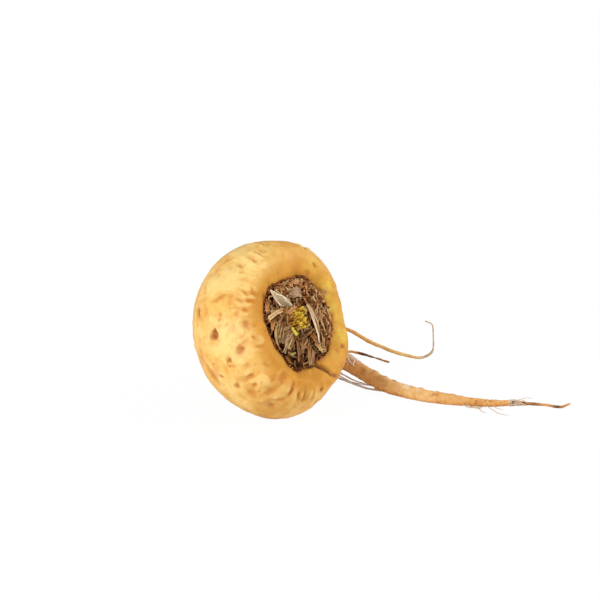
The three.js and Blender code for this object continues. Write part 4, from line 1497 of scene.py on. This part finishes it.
def crown_stalks(finish):
    """Stalk ends with a solid of their own, and the loose strips round them."""
    blank = sheet_blank(10, 16)
    for seed, (name, shape) in enumerate(STALKS.items()):
        shape = {"seed": 131 + seed, "crumple": 0.18, "torn": 0.9, "thick": 0.3, **shape}
        settle(strip_piece(blank, "dry_" + name, shape), finish, "dry_stalk", name)
    strips = []
    for seed, (route, widths, tilt, colours) in enumerate(STRIPS):
        strips.append(strip_piece(blank, "strip", {
            "seed": 151 + seed, "crumple": 0.22, "thick": 0.26, "torn": 0.3,
            "route": route, "widths": widths, "tilt": tilt, "colours": colours,
        }))
    settle(joined(strips, "loose_strips"), finish, "middle_sheath")
    discard(blank)


def scattered(blank, name, copies, finish, slot, thickness=0.0):
    """Many small copies of a blank as one mesh: each is its points, colours
    and places on the fibres."""
    faces = [tuple(face.vertices) for face in blank.data.polygons]
    size = len(blank.data.vertices)
    points, tint, fibre = (np.concatenate(kept) for kept in zip(*copies))
    mesh = bpy.data.meshes.new(name)
    mesh.from_pydata(
        (points * MM).tolist(), [],
        [tuple(i + size * n for i in face) for n in range(len(copies)) for face in faces],
    )
    piece = in_scene(name, mesh)
    set_colour(piece, "tint", tint)
    set_colour(piece, "fibre", fibre)
    if thickness:
        apply_modifier(piece, "SOLIDIFY", thickness=thickness * MM, offset=0)
    smooth_shaded(piece)
    normals_outwards(piece)
    settle(piece, finish, slot)
    discard(blank)


def flat_spot(radius, turn):
    """x and y across the crown of a radius and a turn in degrees."""
    return radius * math.cos(math.radians(turn)), radius * math.sin(math.radians(turn))


def crown_spot(x, y):
    """Radius and turn in degrees of x and y across the crown."""
    return math.hypot(x, y), math.degrees(math.atan2(y, x))


SHREDS = 700
PALETTES = [
    (EARTH, RUST, PINK), (EARTH, BARK, TAUPE), (RUST, TAUPE, CREAM),
    (EARTH, RUST, BARK), (RUST, PINK, CREAM), (RUST, BARK, STRAW),
]


def shred_place(random, i, bedded):
    """Radius and turn of a shred, round the bud if bedded, or None in a gap."""
    turn = random.uniform(-30, 130) if i % 5 < 2 else random.uniform(-180, 180)
    radius = 6.0 + 6.2 * math.sqrt(random.uniform(0, 1))
    if bedded:
        turn, radius = random.uniform(-180, 180), random.uniform(4.3, 6.2)
        x, y = flat_spot(radius, turn)
        heart_x, heart_y = flat_spot(HEART[0], math.degrees(HEART[1]))
        return crown_spot(heart_x + x, heart_y + 0.85 * y)
    if in_gap(radius, math.radians(turn)) > 0.25:
        return None
    return radius, turn


def shred_route(random, radius, turn, curled, run, base):
    """Spots of a shred: curled ones bend round, the others lie across the rings."""
    heading = random.uniform(0, 2 * math.pi)
    if not curled:
        heading = math.radians(turn) + random.choice((-1, 1)) * math.pi / 2
        heading += 0.5 * random.normal() + (0.9 if -150 < turn < -80 else 0.0)
    bend = random.choice((-1, 1)) * (random.uniform(3, 5.5) if curled else 0.6)
    start_x, start_y = flat_spot(radius, turn)
    spots = []
    for share in (0, 0.2, 0.4, 0.6, 0.8, 1):
        way = heading + bend * share
        reach = run * share if not curled else run / abs(bend) * 1.2
        out, spot_turn = crown_spot(
            start_x + reach * math.cos(way), start_y + reach * math.sin(way)
        )
        out = min(out, CRATER_RADIUS)
        top = 4.7 - 1.5 * ease(out, 10.5, CRATER_RADIUS)
        height = base + 0.7 * math.sin(3 * share) + 0.2 * random.normal()
        spots.append((out, spot_turn, min(height, top)))
    return spots


def crown_shreds(finish):
    """Curled shreds of old leaf that stand and lie between the bases."""
    blank = sheet_blank(2, 8)
    u, v, _ = flat_points(blank).T
    random = np.random.default_rng(7)
    copies = []
    for i in range(SHREDS):
        curled, bedded = i % 5 < 3, i % 4 == 3
        place = shred_place(random, i, bedded)
        if place is None:
            continue
        run = random.uniform(1.4, 2.6) if curled else random.uniform(1.6, 3.4)
        base = random.uniform(2.0, 2.9) if bedded else random.uniform(2.4, 3.8)
        shape = {
            "seed": 300 + i, "crumple": 0.16, "torn": 0.2,
            "route": shred_route(random, *place, curled, run, base),
            "widths": [random.uniform(0.2, 0.4), random.uniform(0.25, 0.5), 0.12],
            "cup": random.uniform(0.1, 0.5), "tilt": random.uniform(-60, 60),
            "twist": random.uniform(-60, 60),
        }
        choice = random.integers(len(PALETTES))
        colours = PALETTES[3 + choice % 2 if curled else choice]
        copies.append((
            # Painted shade, darker low in the crater.
            strip_points(u, v, shape), shaded_low(place[1]) * tints(*colours, u, v, i, 0.3),
            fibres(u, v, 0.5, run, i),
        ))
    scattered(blank, "dry_shreds", copies, finish, "middle_sheath", 0.22)


CRUMBS = 1190
CRUMBS_ALL_ROUND = 1100  # the rest lie at the crater's lowest edge


def crown_crumbs(finish):
    """Crumbled bark along the wall of the crater and between the bases."""
    blank = lump_blank()
    flat = flat_points(blank)
    random = np.random.default_rng(11)
    copies = []
    for i in range(CRUMBS):
        turn = random.uniform(-10, 130) if i % 4 == 0 else random.uniform(-180, 180)
        if i >= CRUMBS_ALL_ROUND:
            turn = random.uniform(230, 272)
        if i % 3:
            radius = random.uniform(12.0, 13.6) + 0.6 * (shaded_side(turn) - at_bottom(turn))
        else:
            radius = random.uniform(5, 12.2)
            if in_gap(radius, math.radians(turn)) > 0.25:
                continue
        size = random.uniform(0.3, 0.75)
        spin = Matrix.Rotation(random.uniform(0, 6.3), 3, "Z")
        spin = spin @ Matrix.Rotation(random.uniform(0, 3), 3, "X")
        lump = flat * (1 + 0.3 * noise(flat + i, 0.5, 51))[:, None]
        lump = (lump * size) @ np.array(spin).T
        on_bases = 1.2 if radius < 10.8 else 0.0
        along = floor_at(radius) + random.uniform(0.0, 0.5) + on_bases
        points = crown_point(radius, math.radians(turn), along) + lump
        tone = random.uniform(0.1, 1)
        colour = linear(EARTH) * (1 - tone) + linear((BARK, RUST, PINK)[i % 3]) * tone
        shade = colour * (0.9 + 0.4 * noise(flat * 3 + i, 0.5, 52))[:, None]
        # Painted shade, darker low in the crater; less so at the wall.
        painted_low_shade = shaded_low(turn) if radius < 12 else 0.5 + 0.5 * shaded_low(turn)
        copies.append((points, painted_low_shade * shade, points))
    scattered(blank, "crown_crumbs", copies, finish, "outer_sheath")


def crown_bud(finish):
    """The young bud: crinkled golden leaflets packed round a green heart."""
    blank = sheet_blank(14, 7)
    leaflets = []
    seed = 500
    for radius, count, arc in LAYERS:
        for i in range(count):
            seed += 1
            turn = 360 * i / count + radius * 70 + 14 * vary(i, seed)
            left = 0.5 - 0.5 * math.cos(math.radians(turn - 10))
            fuzzy = left > 0.6
            leaflets.append(leaf_piece(blank, "leaflet", plate_points, {
                **LEAFLET, "seed": seed, "turn": turn, "arc": arc,
                "radius": (radius, radius + 0.25 * vary(i, seed + 2)),
                "height": 4.5 - 0.035 * radius**2 + 0.45 * vary(i, seed + 1) - 0.3 * left,
                "crumple": 0.24 if fuzzy else 0.1, "curl": 0.5 * vary(i, seed + 3),
                # SUN along the top edges: the bud's yellow, partly a painted highlight.
                "colours": (OLIVE, UMBER, (216, 160, 66)) if fuzzy else (OLIVE, GOLD, SUN),
            }))
    # green tips that stand up at its lower left
    for shift in (-7, 0, 6):
        leaflets.append(leaf_piece(blank, "leaflet", strip_points, {
            "route": [(6.6, 209 + shift, 4.3), (6.4, 205 + shift, 4.9), (6.2, 201 + shift, 4.7)],
            "widths": [0.4, 0.8, 0.3], "cup": 0.3, "seed": 590 + shift, "crumple": 0.2,
            "tilt": 10, "rim": 0.3, "colours": (OLIVE, SPROUT, (228, 222, 98)),
        }))
    settle(joined(leaflets, "young_bud"), finish, "bud", "bud")
    discard(blank)


def dry_leaf():
    """Papery, fibrous leaf bases, in the tints that each keeps."""
    finish = Finish("dry_leaf", Specular_IOR_Level=0.15, IOR=1.4)
    tint, streaked = finish.kept("tint"), finish.streaks((4.5, 0.5, 1), 3.0)
    grain, dust = finish.noise(0.35, 3), finish.noise(1.2, 3)
    stained = finish.mix(1.0, tint, (0.58, 0.45, 0.32, 1), "MULTIPLY")
    colour = finish.coated(
        finish.mix(streaked.step(0.42, 0.66) * 0.55, tint, stained),
        (grain.step(0.58, 0.8) * 0.3, (226, 186, 144)),
        (dust.step(0.5, 0.7) * 0.25, (106, 61, 29)),
    )
    return finish.feed(
        Base_Color=finish.mix(1.0, colour, (1, 0.94, 0.78, 1), "MULTIPLY"),
        Roughness=0.72 + grain * 0.2,
        Normal=finish.bump(streaked * 0.8 + grain * 0.4, 0.1, 0.8),
    )


def bud_leaf():
    """Waxy golden young leaves."""
    finish = Finish(
        "bud_leaf", Specular_IOR_Level=0.4, Subsurface_Weight=0.1, Subsurface_Scale=0.001,
        Subsurface_Radius=(0.6, 0.4, 0.05),
    )
    veins, grain = finish.streaks((3.5, 0.7, 1), 2.0), finish.noise(0.4, 3)
    colour = finish.coated(
        finish.kept("tint"), (veins.step(0.5, 0.7) * 0.3, (150, 92, 26)),
        (grain.step(0.55, 0.75) * 0.4, (248, 226, 106)),
    )
    return finish.feed(
        Base_Color=colour, Roughness=0.5 + grain * 0.2,
        Normal=finish.bump(veins * 0.8 + grain * 0.3, 0.08, 0.8),
    )


# ------------------------------------------------------- table, lamps, camera


TABLE_SIZE = 6.0
# Lamps: name, place, size in metres, power in watts; both face the root.
LAMPS = [
    ("key_lamp", (-1.04, -1.02, 0.74), 0.8, 15.2), ("fill_lamp", (1.42, 0.0, 0.68), 0.9, 14.3),
]
LIT_SPOT = Vector((0, 0, 0.02))
VIEW_ELEVATION = math.radians(20)
VIEW_DISTANCE = 3.0
VIEW_WIDTH = 0.1695  # of what the camera sees at the root, in metres
VIEW_SHIFT = 7.91  # from the body's middle to the view's, both across and up
SENSOR_WIDTH = 36


def make_table():
    """A matt white table that the camera and mirrored rays see as white light."""
    nothing_selected()
    bpy.ops.mesh.primitive_plane_add(size=TABLE_SIZE, location=(0, 0, 0))
    table = bpy.context.object
    table.name = "table_top"
    paper = Finish("table_paper", Roughness=0.9, Specular_IOR_Level=0.1)
    paper.shader.inputs["Base Color"].default_value = (0.9, 0.9, 0.9, 1)
    rays = paper.add("LightPath")
    seen = rays["Is Camera Ray"]
    for ray in ("Is Glossy Ray", "Is Transmission Ray"):
        seen = seen.maths("MAXIMUM", seen, rays[ray])
    glow = paper.add("Emission", {"Color": (1, 1, 1, 1), "Strength": 1.01})["Emission"]
    lit = Wire(paper, paper.shader.outputs[0])
    blend = paper.add("MixShader", {0: seen * 0.96, 1: lit, 2: glow})["Shader"]
    output = next(n for n in paper.tree.nodes if n.type == "OUTPUT_MATERIAL")
    paper.tree.links.new(blend.socket, output.inputs["Surface"])
    table.data.materials.append(paper.material)


def light_studio():
    """Soft white light from all round, and two lamps."""
    world = bpy.data.worlds.new("studio")
    bpy.context.scene.world = world
    world.use_nodes = True
    nodes, links = world.node_tree.nodes, world.node_tree.links
    mix = nodes.new("ShaderNodeMixShader")
    skies = nodes["Background"], nodes.new("ShaderNodeBackground")
    for slot, (sky, strength) in enumerate(zip(skies, (0.5, 1.0)), 1):
        sky.inputs["Color"].default_value = (1, 1, 1, 1)
        sky.inputs["Strength"].default_value = strength
        links.new(sky.outputs[0], mix.inputs[slot])
    rays = nodes.new("ShaderNodeLightPath")
    links.new(rays.outputs["Is Camera Ray"], mix.inputs[0])
    links.new(mix.outputs[0], nodes["World Output"].inputs["Surface"])

    for name, place, size, power in LAMPS:
        lamp = bpy.data.lights.new(name, "AREA")
        lamp.shape = "DISK"
        lamp.size = size
        lamp.energy = power
        holder = in_scene(name, lamp)
        holder.location = place
        facing = LIT_SPOT - holder.location
        holder.rotation_euler = facing.to_track_quat("-Z", "Y").to_euler()


def make_camera():
    middle = Vector(CENTRE) - Vector((*FOOT, 0))
    sine, cosine = math.sin(VIEW_ELEVATION), math.cos(VIEW_ELEVATION)
    screen_up, back = Vector((0, sine, cosine)), Vector((0, -cosine, sine))
    target = (middle + Vector((VIEW_SHIFT, 0, 0)) + VIEW_SHIFT * screen_up) * MM
    camera = bpy.data.cameras.new("camera")
    camera.sensor_width = SENSOR_WIDTH
    camera.lens = SENSOR_WIDTH * VIEW_DISTANCE / VIEW_WIDTH
    camera.clip_end = 20
    holder = in_scene("camera", camera)
    holder.location = target + back * VIEW_DISTANCE
    holder.rotation_euler = (-back).to_track_quat("-Z", "Y").to_euler()
    bpy.context.scene.camera = holder


def settle(piece, finish, slot, *nodes):
    """Gives a finished piece its place and finish, and the nodes it stands for; its slot is not used."""
    move_points(piece, points_of(piece) - (*FOOT, 0))
    piece.data.materials.clear()
    piece.data.materials.append(finish)
    if nodes:
        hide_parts(*nodes)
    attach(piece, "root")


make_camera()
make_table()
light_studio()
settle(model_root(), root_skin(), "root_skin", "root")
root_hairs(root_hair())
papery, golden = dry_leaf(), bud_leaf()
crown_leaves(papery, golden)
crown_stalks(papery)
crown_shreds(papery)
crown_crumbs(papery)
crown_bud(golden)

bpy.context.scene.view_settings.view_transform = "Standard"
